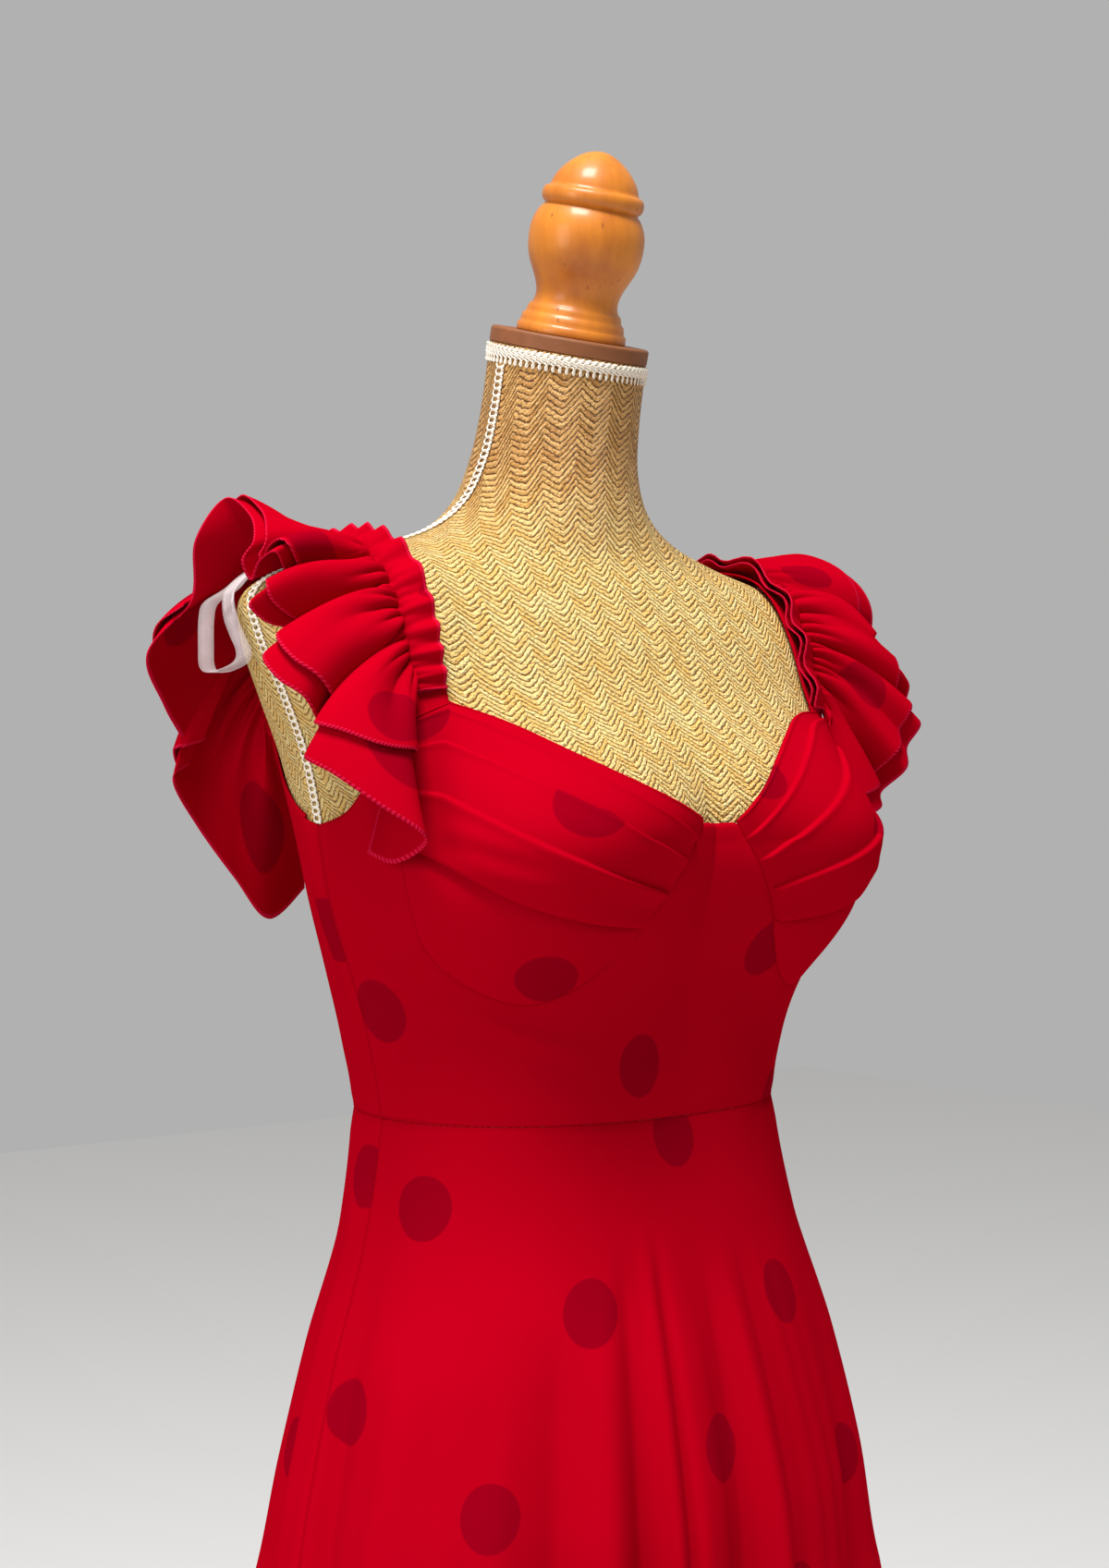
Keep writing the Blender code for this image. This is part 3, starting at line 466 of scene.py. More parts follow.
def figure_tree():
    """The figure as a fine net that rays can be dropped on."""
    rows, columns = 240, 240
    last = len(FIGURE) - 1
    points = [
        figure(last * i / (rows - 1), 360 * j / columns)
        for i in range(rows)
        for j in range(columns)
    ]
    faces = [
        (
            i * columns + j,
            i * columns + (j + 1) % columns,
            (i + 1) * columns + (j + 1) % columns,
            (i + 1) * columns + j,
        )
        for i in range(rows - 1)
        for j in range(columns)
    ]
    return BVHTree.FromPolygons(points, faces)


def over_shoulder(x, elevation, lift):
    """A point over the figure's shoulder, in the plane of x, lifted along its normal."""
    turn = math.radians(elevation)
    outward = Vector((0, -math.cos(turn), math.sin(turn)))
    pivot = Vector((x, *STRAP_PIVOT))
    point, normal, _, _ = FIGURE_NET.ray_cast(pivot + outward * 0.5, -outward)
    if normal.dot(outward) < 0:
        normal = -normal
    return point + normal * lift


def ease(angle, height):
    """The gap under the bodice, which spans the hollow at the gore."""
    beside = math.exp(-0.5 * (angle / 13) ** 2)
    over = 1 / (1 + math.exp((1.142 - height) / 0.010))
    return EASE + BRIDGE * beside * over


def bump(away, width):
    return math.exp(-0.5 * (away / width) ** 2)


def smooth_step(value, low, high):
    t = min(max((value - low) / (high - low), 0.0), 1.0)
    return t * t * (3 - 2 * t)


def creases(table, u, v):
    """The height of a table's creases at a place, tapered at their ends."""
    total = 0.0
    for c in table:
        along_u, along_v = c.u1 - c.u0, c.v1 - c.v0
        t = ((u - c.u0) * along_u + (v - c.v0) * along_v) / (along_u**2 + along_v**2)
        if -0.3 < t < 1.3:
            t = min(max(t, 0), 1)
            away = math.hypot(u - c.u0 - along_u * t, v - c.v0 - along_v * t)
            total += c.height * bump(away, c.width) * math.sin(math.pi * (0.12 + 0.76 * t))
    return total


def along(line, place):
    """The point at a place in 0..1 along a smooth line through a few points."""
    return blend(line, place * (len(line) - 1))


def along_all(lines, counts, place):
    """The point at a place in 0..1 along lines laid end to end, each with its share."""
    total = sum(counts)
    at = min(max(place, 0), 1) * total
    for line, count in zip(lines, counts):
        if at <= count or line is lines[-1]:
            return along(line, min(at / count, 1))
        at -= count


# --------------------------------------------------------------------------- materials


def linear(hex_colour):
    """The linear colour of an sRGB hex colour."""
    channels = [int(hex_colour[i : i + 2], 16) / 255 for i in (1, 3, 5)]
    return [c / 12.92 if c <= 0.04045 else ((c + 0.055) / 1.055) ** 2.4 for c in channels] + [1.0]


def add(tree, kind, inputs=None, **settings):
    """Adds a node with its settings, and its inputs as values or links."""
    node = tree.nodes.new("ShaderNode" + kind)
    for name, value in settings.items():
        setattr(node, name, value)
    for name, value in (inputs or {}).items():
        if isinstance(value, bpy.types.NodeSocket):
            tree.links.new(value, node.inputs[name])
        else:
            node.inputs[name].default_value = value
    return node


def new_material(name, **values):
    """A material's tree and its shader, with the shader's own values set."""
    material = bpy.data.materials.new(name)
    material.use_nodes = True
    shader = material.node_tree.nodes["Principled BSDF"]
    for key, value in values.items():
        shader.inputs[key.replace("_", " ")].default_value = value
    return material, material.node_tree, shader


def red_crepe(name, edged=False):
    """Polyester crepe with elastane, piece-dyed red: a dull, fine-grained weave with a soft
    sheen on its ridges, and spots of the same cloth printed a tone darker. Ruffle edges are
    overlocked with a slightly pinker thread."""
    material, tree, shader = new_material(
        name, Roughness=0.65, Specular_IOR_Level=0.0, Sheen_Weight=0.05, Sheen_Roughness=0.40,
        Sheen_Tint=linear("#FF002C"),
    )
    place = add(tree, "UVMap", uv_map="Cloth").outputs[0]
    # round spots at the corners and the middles of a square net
    net = add(
        tree, "VectorMath", {0: place, "Scale": 1 / SPOT_PITCH}, operation="SCALE"
    ).outputs[0]
    near = []
    for shift in (0.5, 1.0):
        moved = add(tree, "VectorMath", {0: net, 1: (shift, shift, 0)}, operation="ADD")
        part = add(tree, "VectorMath", {0: moved.outputs[0]}, operation="FRACTION")
        middle = add(
            tree, "VectorMath", {0: part.outputs[0], 1: (0.5, 0.5, 0)}, operation="SUBTRACT"
        )
        near.append(
            add(tree, "VectorMath", {0: middle.outputs[0]}, operation="LENGTH").outputs["Value"]
        )
    nearest = add(tree, "Math", {0: near[0], 1: near[1]}, operation="MINIMUM").outputs[0]
    radius = SPOT_WIDTH / 2 / SPOT_PITCH
    spot = add(
        tree, "MapRange",
        {0: nearest, 1: radius * 0.97, 2: radius * 1.03, 3: 1.0, 4: 0.0},
    ).outputs[0]
    # the dye takes a little unevenly over a hand's width
    cloud = add(
        tree, "TexNoise", {"Vector": place, "Scale": 9.0, "Detail": 3.0}
    ).outputs[0]
    ground = add(
        tree, "Mix", {0: cloud, 6: linear("#9A0012"), 7: linear("#A80017")}, data_type="RGBA"
    ).outputs[2]
    colour = add(
        tree, "Mix", {0: spot, 6: ground, 7: linear("#850014")}, data_type="RGBA"
    ).outputs[2]
    # crepe grain: the twisted yarns stand about 0.5 mm apart, drawn coarser, at about 0.9 mm, to show
    grain = add(
        tree, "TexNoise", {"Vector": place, "Scale": 1100.0, "Detail": 2.0, "Roughness": 0.6}
    ).outputs[0]
    height = grain
    if edged:
        edge = add(tree, "UVMap", uv_map="Edge").outputs[0]
        parts = add(tree, "SeparateXYZ", {0: edge})
        run, depth = parts.outputs[0], parts.outputs[1]
        band = add(
            tree, "MapRange", {0: depth, 1: 0.0015, 2: 0.0018, 3: 1.0, 4: 0.0}
        ).outputs[0]
        # the thread crosses the edge on a slant every 1.6 mm
        slant = add(
            tree, "Math", {0: depth, 1: 0.5, 2: run}, operation="MULTIPLY_ADD"
        ).outputs[0]
        turns = add(tree, "Math", {0: slant, 1: 2 * math.pi / 0.0016}, operation="MULTIPLY")
        ridge = add(tree, "Math", {0: turns.outputs[0]}, operation="SINE").outputs[0]
        thread = add(
            tree, "MapRange", {0: ridge, 1: -0.5, 2: 0.6, 3: 0.15, 4: 1.0}
        ).outputs[0]
        cover = add(tree, "Math", {0: thread, 1: band}, operation="MULTIPLY").outputs[0]
        colour = add(
            tree, "Mix", {0: cover, 6: colour, 7: linear("#C4183C")}, data_type="RGBA"
        ).outputs[2]
        height = add(
            tree, "Math", {0: cover, 1: 1.6, 2: grain}, operation="MULTIPLY_ADD"
        ).outputs[0]
    tree.links.new(colour, shader.inputs["Base Color"])
    relief = add(
        tree, "Bump", {"Strength": 0.35, "Distance": 0.0003, "Height": height}
    ).outputs[0]
    tree.links.new(relief, shader.inputs["Normal"])
    return material


def woven_straw():
    """Raffia plaits laid side by side: flat shiny strands of dried palm leaf that meet in
    herringbone points, from pale yellow to brown, with a painted highlight on each strand's
    crown and painted shade in the gaps between them."""
    material, tree, shader = new_material(
        "Woven raffia", Roughness=0.55, Specular_IOR_Level=0.38
    )
    place = add(tree, "UVMap", uv_map="Cloth").outputs[0]
    # the neck is plaited steeper than the chest, and is drawn darker
    height = add(tree, "SeparateXYZ", {0: add(tree, "TexCoord").outputs["Object"]}).outputs[2]
    neck = add(
        tree, "MapRange", {0: height, 1: 1.355, 2: 1.420, 3: 0.0, 4: 1.0}
    ).outputs[0]
    # the strands wander by up to a millimetre and a half
    drift = add(
        tree, "TexNoise", {"Vector": place, "Scale": 250.0, "Detail": 3.0, "Roughness": 0.7}
    ).outputs["Color"]
    centred = add(tree, "VectorMath", {0: drift, 1: (0.5, 0.5, 0.5)}, operation="SUBTRACT")
    scaled = add(
        tree, "VectorMath", {0: centred.outputs[0], "Scale": 0.0030}, operation="SCALE"
    )
    moved = add(
        tree, "VectorMath", {0: place, 1: scaled.outputs[0]}, operation="ADD"
    ).outputs[0]
    parts = add(tree, "SeparateXYZ", {0: moved})
    across, up = parts.outputs[0], parts.outputs[1]
    # each strand runs from a sharp point down to a rounded valley
    column = add(tree, "Math", {0: across, 1: 1 / PLAIT_PITCH}, operation="MULTIPLY").outputs[0]
    away = add(tree, "Math", {0: column, 1: 1.0}, operation="PINGPONG").outputs[0]
    near = add(tree, "Math", {0: 1.0, 1: away}, operation="SUBTRACT").outputs[0]
    curved = add(tree, "Math", {0: near, 1: 1.25}, operation="POWER").outputs[0]
    point = add(tree, "MapRange", {0: neck, 1: 0.0, 2: 1.0, 3: 0.0082, 4: 0.0088}).outputs[0]
    risen = add(tree, "Math", {0: curved, 1: point}, operation="MULTIPLY").outputs[0]
    slant = add(tree, "Math", {0: up, 1: risen}, operation="SUBTRACT").outputs[0]
    strand = add(tree, "Math", {0: slant, 1: 1 / STRAND_PITCH}, operation="MULTIPLY").outputs[0]
    phase = add(tree, "Math", {0: strand}, operation="FRACT").outputs[0]
    number = add(tree, "Math", {0: strand}, operation="FLOOR").outputs[0]
    side = add(tree, "Math", {0: column}, operation="FLOOR").outputs[0]
    key = add(tree, "CombineXYZ", {0: number, 1: side})
    tone = add(tree, "TexWhiteNoise", {0: key.outputs[0]}, noise_dimensions="3D").outputs[0]
    # each strand is round across, and lumpy where the leaf is folded
    angle = add(tree, "Math", {0: phase, 1: math.pi}, operation="MULTIPLY").outputs[0]
    crown = add(tree, "Math", {0: angle}, operation="SINE").outputs[0]
    rounded = add(tree, "Math", {0: crown, 1: 0.7}, operation="POWER").outputs[0]
    lumps = add(
        tree, "TexNoise", {"Vector": place, "Scale": 560.0, "Detail": 3.0, "Roughness": 0.6}
    ).outputs[0]
    lumpy = add(tree, "MapRange", {0: lumps, 1: 0.3, 2: 0.7, 3: 0.35, 4: 1.20}).outputs[0]
    relief = add(tree, "Math", {0: rounded, 1: lumpy}, operation="MULTIPLY").outputs[0]
    # fibres run along each strand
    fibre_place = add(tree, "CombineXYZ", {0: column, 1: strand})
    stretched = add(
        tree, "VectorMath", {0: fibre_place.outputs[0], 1: (3.5, 5.0, 1.0)}, operation="MULTIPLY"
    ).outputs[0]
    fibre = add(
        tree, "TexNoise", {"Vector": stretched, "Scale": 1.0, "Detail": 3.0}
    ).outputs[0]
    pale = add(
        tree, "Mix", {0: neck, 6: linear("#FFE89C"), 7: linear("#F6C075")}, data_type="RGBA"
    ).outputs[2]
    deep = add(
        tree, "Mix", {0: neck, 6: linear("#F4BE5A"), 7: linear("#C2843A")}, data_type="RGBA"
    ).outputs[2]
    mixed = add(tree, "Math", {0: tone, 1: 0.45, 2: fibre}, operation="MULTIPLY_ADD").outputs[0]
    share = add(tree, "MapRange", {0: mixed, 1: 0.42, 2: 1.05, 3: 0.0, 4: 1.0}).outputs[0]
    strands = add(tree, "Mix", {0: share, 6: pale, 7: deep}, data_type="RGBA").outputs[2]
    # painted highlight: each strand's crown is painted paler, where the light would catch it
    shine = add(tree, "MapRange", {0: relief, 1: 0.80, 2: 1.15, 3: 0.0, 4: 0.7}).outputs[0]
    painted_highlight_colour = add(
        tree, "Mix", {0: neck, 6: linear("#FFF6CC"), 7: linear("#FFD99A")}, data_type="RGBA"
    ).outputs[2]
    strands = add(tree, "Mix", {0: shine, 6: strands, 7: painted_highlight_colour}, data_type="RGBA").outputs[2]
    # painted shade: the low places between strands are painted dark, where shade falls in the gaps
    gap = add(tree, "MapRange", {0: relief, 1: 0.20, 2: 0.50, 3: 1.0, 4: 0.0}).outputs[0]
    dark = add(
        tree, "Mix", {0: neck, 6: linear("#8E5614"), 7: linear("#5A340E")}, data_type="RGBA"
    ).outputs[2]
    colour = add(tree, "Mix", {0: gap, 6: strands, 7: dark}, data_type="RGBA").outputs[2]
    tree.links.new(colour, shader.inputs["Base Color"])
    body = add(
        tree, "Math", {0: fibre, 1: 0.35, 2: relief}, operation="MULTIPLY_ADD"
    ).outputs[0]
    normal = add(tree, "Bump", {"Strength": 1.0, "Distance": 0.0024, "Height": body}).outputs[0]
    tree.links.new(normal, shader.inputs["Normal"])
    return material


def lacquered_beech():
    """Turned beech under a thick clear lacquer: orange-brown wood with a faint upright
    grain and small dark flecks, and sharp highlights from the coat."""
    material, tree, shader = new_material(
        "Lacquered beech", Roughness=0.5, Specular_IOR_Level=0.30, Coat_Weight=0.30,
        Coat_Roughness=0.20, Coat_IOR=1.5,
    )
    place = add(tree, "TexCoord").outputs["Object"]
    stretched = add(
        tree, "Mapping", {"Vector": place, "Scale": (60.0, 60.0, 7.0)}
    ).outputs[0]
    grain = add(
        tree, "TexNoise", {"Vector": stretched, "Scale": 1.0, "Detail": 5.0, "Roughness": 0.6}
    ).outputs[0]
    blotch = add(tree, "TexNoise", {"Vector": place, "Scale": 28.0, "Detail": 3.0}).outputs[0]
    both = add(tree, "Math", {0: grain, 1: blotch}, operation="ADD").outputs[0]
    share = add(tree, "MapRange", {0: both, 1: 0.72, 2: 1.30, 3: 0.0, 4: 1.0}).outputs[0]
    wood = add(
        tree, "Mix", {0: share, 6: linear("#D27E1C"), 7: linear("#A85A14")}, data_type="RGBA"
    ).outputs[2]
    # medullary flecks, 1 to 3 mm long and upright
    fleck_place = add(
        tree, "Mapping", {"Vector": place, "Scale": (420.0, 420.0, 150.0)}
    ).outputs[0]
    cell = add(
        tree, "TexVoronoi", {"Vector": fleck_place, "Scale": 0.35, "Randomness": 1.0}
    ).outputs["Distance"]
    fleck = add(tree, "MapRange", {0: cell, 1: 0.06, 2: 0.13, 3: 0.75, 4: 0.0}).outputs[0]
    colour = add(
        tree, "Mix", {0: fleck, 6: wood, 7: linear("#7A3F12")}, data_type="RGBA"
    ).outputs[2]
    tree.links.new(colour, shader.inputs["Base Color"])
    relief = add(
        tree, "Bump", {"Strength": 0.12, "Distance": 0.0004, "Height": both}
    ).outputs[0]
    tree.links.new(relief, shader.inputs["Normal"])
    return material


def stained_wood():
    """Stained and rubbed wood under a thin matte varnish: an even brown, a little scuffed."""
    material, tree, shader = new_material(
        "Stained wood", Roughness=0.62, Specular_IOR_Level=0.35
    )
    place = add(tree, "TexCoord").outputs["Object"]
    stretched = add(
        tree, "Mapping", {"Vector": place, "Scale": (30.0, 160.0, 160.0)}
    ).outputs[0]
    grain = add(tree, "TexNoise", {"Vector": stretched, "Scale": 1.0, "Detail": 4.0}).outputs[0]
    colour = add(
        tree, "Mix", {0: grain, 6: linear("#8A5230"), 7: linear("#6C3E1C")}, data_type="RGBA"
    ).outputs[2]
    tree.links.new(colour, shader.inputs["Base Color"])
    relief = add(
        tree, "Bump", {"Strength": 0.2, "Distance": 0.0003, "Height": grain}
    ).outputs[0]
    tree.links.new(relief, shader.inputs["Normal"])
    return material


def gimp_cotton():
    """Mercerised cotton cord wound over a core: off-white, with a soft shine and the
    slanting turns of its winding."""
    material, tree, shader = new_material(
        "Gimp cotton", Roughness=0.5, Specular_IOR_Level=0.35, Sheen_Weight=0.15
    )
    place = add(tree, "TexCoord").outputs["Object"]
    turns = add(
        tree, "TexNoise", {"Vector": place, "Scale": 900.0, "Detail": 1.0}
    ).outputs[0]
    colour = add(
        tree, "Mix", {0: turns, 6: linear("#F4EDE0"), 7: linear("#D9CBB8")}, data_type="RGBA"
    ).outputs[2]
    tree.links.new(colour, shader.inputs["Base Color"])
    relief = add(
        tree, "Bump", {"Strength": 0.4, "Distance": 0.0003, "Height": turns}
    ).outputs[0]
    tree.links.new(relief, shader.inputs["Normal"])
    return material


def clear_ribbon():
    """Extruded polyurethane tape: milky and see-through, with a soft shine."""
    material, tree, shader = new_material(
        "Clear polyurethane", Roughness=0.22, Specular_IOR_Level=0.5, Alpha=0.30, IOR=1.5
    )
    place = add(tree, "TexCoord").outputs["Object"]
    haze = add(tree, "TexNoise", {"Vector": place, "Scale": 160.0, "Detail": 2.0}).outputs[0]
    colour = add(
        tree, "Mix", {0: haze, 6: linear("#E4DADA"), 7: linear("#C9BCBC")}, data_type="RGBA"
    ).outputs[2]
    tree.links.new(colour, shader.inputs["Base Color"])
    return material


def studio_floor():
    """A matt painted floor."""
    material, _, shader = new_material("Studio floor", Roughness=0.9)
    shader.inputs["Base Color"].default_value = linear("#F2F1EF")
    return material



# ----------------------------------------------------------------------------- pieces


def shown(name, mesh, material, node, smooth=60):
    """A finished piece that stands for a node of the frame."""
    data = bpy.data.meshes.new(name)
    mesh.to_mesh(data)
    mesh.free()
    data.materials.append(material)
    data.shade_smooth()
    if smooth < 180:
        data.set_sharp_from_angle(angle=math.radians(smooth))
    item = bpy.data.objects.new(name, data)
    bpy.context.scene.collection.objects.link(item)
    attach(item, "root")
    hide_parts(node)
    return item


def grid_mesh(columns, levels, surface, lift, cloth, edge=None, flip=False, closed=False):
    """A net with one column more than asked and a row at each level, moved onto a surface
    and then lifted off it along its normals. cloth(u, v) is a place's own place on the flat
    cloth, and edge(u, v) its distance along and from a free edge."""
    mesh = bmesh.new()
    rows = len(levels) - 1
    bmesh.ops.create_grid(mesh, x_segments=columns, y_segments=rows, size=0.5)
    uv = mesh.loops.layers.uv.new("Cloth")
    rim = mesh.loops.layers.uv.new("Edge") if edge else None
    spots = {}
    for vertex in mesh.verts:
        i = round((vertex.co.x + 0.5) * columns)
        j = round((vertex.co.y + 0.5) * rows)
        spots[vertex] = (i / columns, levels[j])
    for face in mesh.faces:
        for loop in face.loops:
            u, v = spots[loop.vert]
            loop[uv].uv = cloth(u, v)
            if edge:
                loop[rim].uv = edge(u, v)
    for vertex, (u, v) in spots.items():
        vertex.co = surface(u, v)
    if flip:
        bmesh.ops.reverse_faces(mesh, faces=mesh.faces)
    mesh.normal_update()
    for vertex, (u, v) in spots.items():
        vertex.co += vertex.normal * lift(u, v)
    if closed:
        bmesh.ops.remove_doubles(mesh, verts=mesh.verts, dist=1e-6)
    return mesh


def even(count):
    """Places from 0 to 1, spread evenly."""
    return [i / count for i in range(count + 1)]


def laid_out(piece, x, y):
    """A place on the flat cloth, from the piece's own place and its turn on the print."""
    spot = SPOTS[piece]
    turn = math.radians(spot.turn)
    return (
        spot.x + x * math.cos(turn) - y * math.sin(turn),
        spot.y + x * math.sin(turn) + y * math.cos(turn),
    )


def cloth_piece(node, mesh, material):
    """A sheet of cloth with its thickness."""
    item = shown(node + "_cloth", mesh, material, node, 180)
    wall = item.modifiers.new("Cloth", "SOLIDIFY")
    wall.thickness = CLOTH
    wall.offset = 0.0


def turned_piece(node, name, profile, material, steps=96, lean=None, smooth=40):
    """A shape turned round Z from (radius, height) points, then placed by a matrix."""
    mesh = bmesh.new()
    points = [mesh.verts.new((radius, 0, height)) for radius, height in profile]
    for start, end in zip(points, points[1:]):
        mesh.edges.new((start, end))
    bmesh.ops.spin(
        mesh, geom=mesh.verts[:] + mesh.edges[:], axis=(0, 0, 1), cent=(0, 0, 0),
        steps=steps, angle=math.tau, use_merge=True,
    )
    bmesh.ops.remove_doubles(mesh, verts=mesh.verts, dist=1e-6)
    bmesh.ops.recalc_face_normals(mesh, faces=mesh.faces)
    if lean:
        bmesh.ops.transform(mesh, matrix=lean, verts=mesh.verts)
    return shown(name, mesh, material, node, smooth)


# ------------------------------------------------------------------------ the dress form


def straw_places(columns, levels):
    """Where each point of the form's net lies on the straw, by row and column: the girth
    from the front's middle, and the way up from the chest along equal girths."""
    last = len(FIGURE) - 1
    middle = columns // 2
    rows = [
        [figure(v * last, 360 * i / columns - 180) for i in range(columns + 1)]
        for v in levels
    ]
    girths = []
    for row in rows:
        girth = [0.0] * (columns + 1)
        for i in range(middle, columns):
            girth[i + 1] = girth[i] + (row[i + 1] - row[i]).length
            girth[columns - i - 1] = -girth[i + 1]
        girths.append(girth)
    up = [[0.0] * (columns + 1) for _ in levels]
    for j in range(1, len(levels)):
        k = 0
        for i in range(columns + 1):
            while k < columns - 1 and girths[j - 1][k + 1] < girths[j][i]:
                k += 1
            step = girths[j - 1][k + 1] - girths[j - 1][k]
            share = min(max((girths[j][i] - girths[j - 1][k]) / step, 0), 1)
            under = rows[j - 1][k].lerp(rows[j - 1][k + 1], share)
            passed = up[j - 1][k] + (up[j - 1][k + 1] - up[j - 1][k]) * share
            up[j][i] = passed + (rows[j][i] - under).length
            if levels[j] * last < 8:
                up[j][i] = rows[j][i].z
    return girths, up


def make_form():
    last = len(FIGURE) - 1
    columns = 192
    levels = [0, 0.25 / last, 1 / last, 2 / last, 3 / last]
    levels += [(4 + i / 8) / last for i in range(8 * (last - 4) + 1)]
    girths, up = straw_places(columns, levels)
    number = {v: j for j, v in enumerate(levels)}

    def straw(u, v):
        i, j = round(u * columns), number[v]
        return girths[j][i], up[j][i]

    mesh = grid_mesh(
        columns, levels, lambda u, v: figure(v * last, 360 * u - 180), lambda u, v: 0.0, straw,
        closed=True,
    )
    bmesh.ops.holes_fill(mesh, edges=[edge for edge in mesh.edges if edge.is_boundary])
    shown("form_straw", mesh, STRAW, "form_torso", 60)


def lean_on_neck(height):
    """Stands a turned piece on the neck's leaning top, at a height along its axis."""
    turn = math.radians(NECK_LEAN_DEGREES)
    axis = Vector((0, -math.sin(turn), math.cos(turn)))
    return Matrix.Translation(NECK_TOP + axis * height) @ Matrix.Rotation(turn, 4, "X")


def disc_profile(radius, height, chamfer, rounding):
    """A disc with a small chamfer at its foot and a rounded upper edge."""
    corner = [math.radians(15 * i) for i in range(7)]
    upper = [
        (
            radius - rounding + rounding * math.cos(turn),
            height - rounding + rounding * math.sin(turn),
        )
        for turn in corner
    ]
    return [(0, 0), (radius - chamfer, 0), (radius, chamfer), *upper, (0, height)]


def make_woods():
    cap = disc_profile(CAP_RADIUS, CAP_HEIGHT, 0.0006, 0.0018)
    turned_piece("neck_cap", "cap_disc", cap, DARK_WOOD, 96, lean_on_neck(SEAM))
    knob = [(radius, height * KNOB_SCALE) for radius, height in KNOB]
    turned_piece(
        "finial", "finial_knob", knob, LACQUERED_WOOD, 96,
        lean_on_neck(CAP_HEIGHT + 2 * SEAM), 50,
    )
    base = disc_profile(BASE_RADIUS, BASE_HEIGHT, 0.001, 0.006)
    turned_piece("stand_base", "base_disc", base, LACQUERED_WOOD, 128)
    foot = BASE_HEIGHT + SEAM
    collar = [
        (POLE_RADIUS + SEAM, foot), (COLLAR_RADIUS, foot), (COLLAR_RADIUS, foot + 0.004),
        (COLLAR_RADIUS * 0.93, foot + 0.008), (COLLAR_RADIUS * 0.78, foot + 0.012),
        (POLE_RADIUS + 0.010, foot + 0.016), (POLE_RADIUS + 0.006, foot + COLLAR_HEIGHT),
        (POLE_RADIUS + SEAM, foot + COLLAR_HEIGHT),
    ]
    turned_piece(
        "stand_collar", "pole_collar", collar + collar[:1], LACQUERED_WOOD, 64
    )
    top = FIGURE[0].height - SEAM
    pole = [(0, foot), (POLE_RADIUS, foot), (POLE_RADIUS, top), (0, top)]
    turned_piece("stand_pole", "pole_rod", pole, LACQUERED_WOOD, 48)


# Gimp braid: each strand loops along its path like a coiled spring laid flat
Strand = namedtuple("Strand", "middle swing loop slant phase lift weave")


def gimp(name, node, path, length, pitch, strands, cord):
    """Looping cords along path(distance, across, lift), joined in one piece."""
    curve = bpy.data.curves.new(name, "CURVE")
    curve.dimensions = "3D"
    curve.bevel_depth = cord / 2
    curve.bevel_resolution = 1
    curve.use_fill_caps = True
    for strand in strands:
        count = int(length / pitch * GIMP_STEPS)
        spline = curve.splines.new("POLY")
        spline.points.add(count)
        for i, point in enumerate(spline.points):
            turn = math.tau * i / GIMP_STEPS + strand.phase
            distance = length * i / count
            distance += strand.loop * math.sin(turn) + strand.slant * math.cos(turn)
            across = strand.middle + strand.swing * math.cos(turn)
            lift = strand.lift + strand.weave * math.sin(2 * turn)
            point.co = (*path(min(max(distance, 0), length), across, lift), 1)
    item = bpy.data.objects.new(name, curve)
    bpy.context.scene.collection.objects.link(item)
    graph = bpy.context.evaluated_depsgraph_get()
    data = bpy.data.meshes.new_from_object(item.evaluated_get(graph))
    bpy.data.objects.remove(item)
    mesh = bmesh.new()
    mesh.from_mesh(data)
    bpy.data.meshes.remove(data)
    shown(name, mesh, GIMP, node, 180)


def make_braids():
    last = len(FIGURE) - 1
    top = last - 0.03
    per_metre = 1 / NECK_PLACE_LENGTH
    bottom = top - NECK_BRAID_WIDTH * per_metre
    middle = (top + bottom) / 2

    def round_neck(distance, across, lift):
        return lifted(figure, middle + across * per_metre, 360 * distance / NECK_GIRTH, lift)

    gimp(
        "neck_gimp", "neck_braid", round_neck, NECK_GIRTH, GIMP_PITCH,
        (
            Strand(0.0035, 0.0018, 0.0002, 0.0030, 0.0, 0.0009, 0.0003),
            Strand(0.0003, 0.0018, 0.0002, -0.0030, 1.6, 0.0009, 0.0003),
            Strand(-0.0036, 0.0022, 0.0014, 0.0, 0.0, 0.0006, 0.0003),
        ),
        0.0011,
    )
    start = bottom - SEAM * per_metre
    end = place_of(ARMHOLE_FRONT[-1][1]) + 0.02
    for side, name in ((1, "left"), (-1, "right")):
        stops = [start + (end - start) * i / 60 for i in range(61)]
        points = [figure(stop, 90 * side) for stop in stops]
        reach = [0.0]
        for a, b in zip(points, points[1:]):
            reach.append(reach[-1] + (b - a).length)

        def down_side(distance, across, lift, side=side, stops=stops, reach=reach):
            i = 0
            while i < len(reach) - 2 and reach[i + 1] < distance:
                i += 1
            share = (distance - reach[i]) / (reach[i + 1] - reach[i])
            place = stops[i] + (stops[i + 1] - stops[i]) * share
            turn = math.degrees(math.atan2(across, abs(figure(place, 90 * side).x)))
            return lifted(figure, place, 90 * side + turn * side, lift)

        gimp(
            "side_gimp_" + name, "side_braid_" + name, down_side, reach[-1], GIMP_PITCH,
            (
                Strand(0.0014, 0.0022, 0.0013, 0.0, 0.0, 0.0008, 0.0003),
                Strand(-0.0024, 0.0007, 0.0, 0.0009, 0.0, 0.0010, 0.0003),
                Strand(-0.0024, 0.0007, 0.0, 0.0009, math.pi, 0.0010, -0.0003),
            ),
            0.0010,
        )


# -------------------------------------------------------------------------- the bodice


def seam_dip(distance, depth=0.0007, width=0.0022):
    """Cloth rolls down into a seam."""
    return -depth * bump(distance, width)


def on_figure(angle, height, side=1):
    return figure(place_of(round(height, 6)), side * angle)


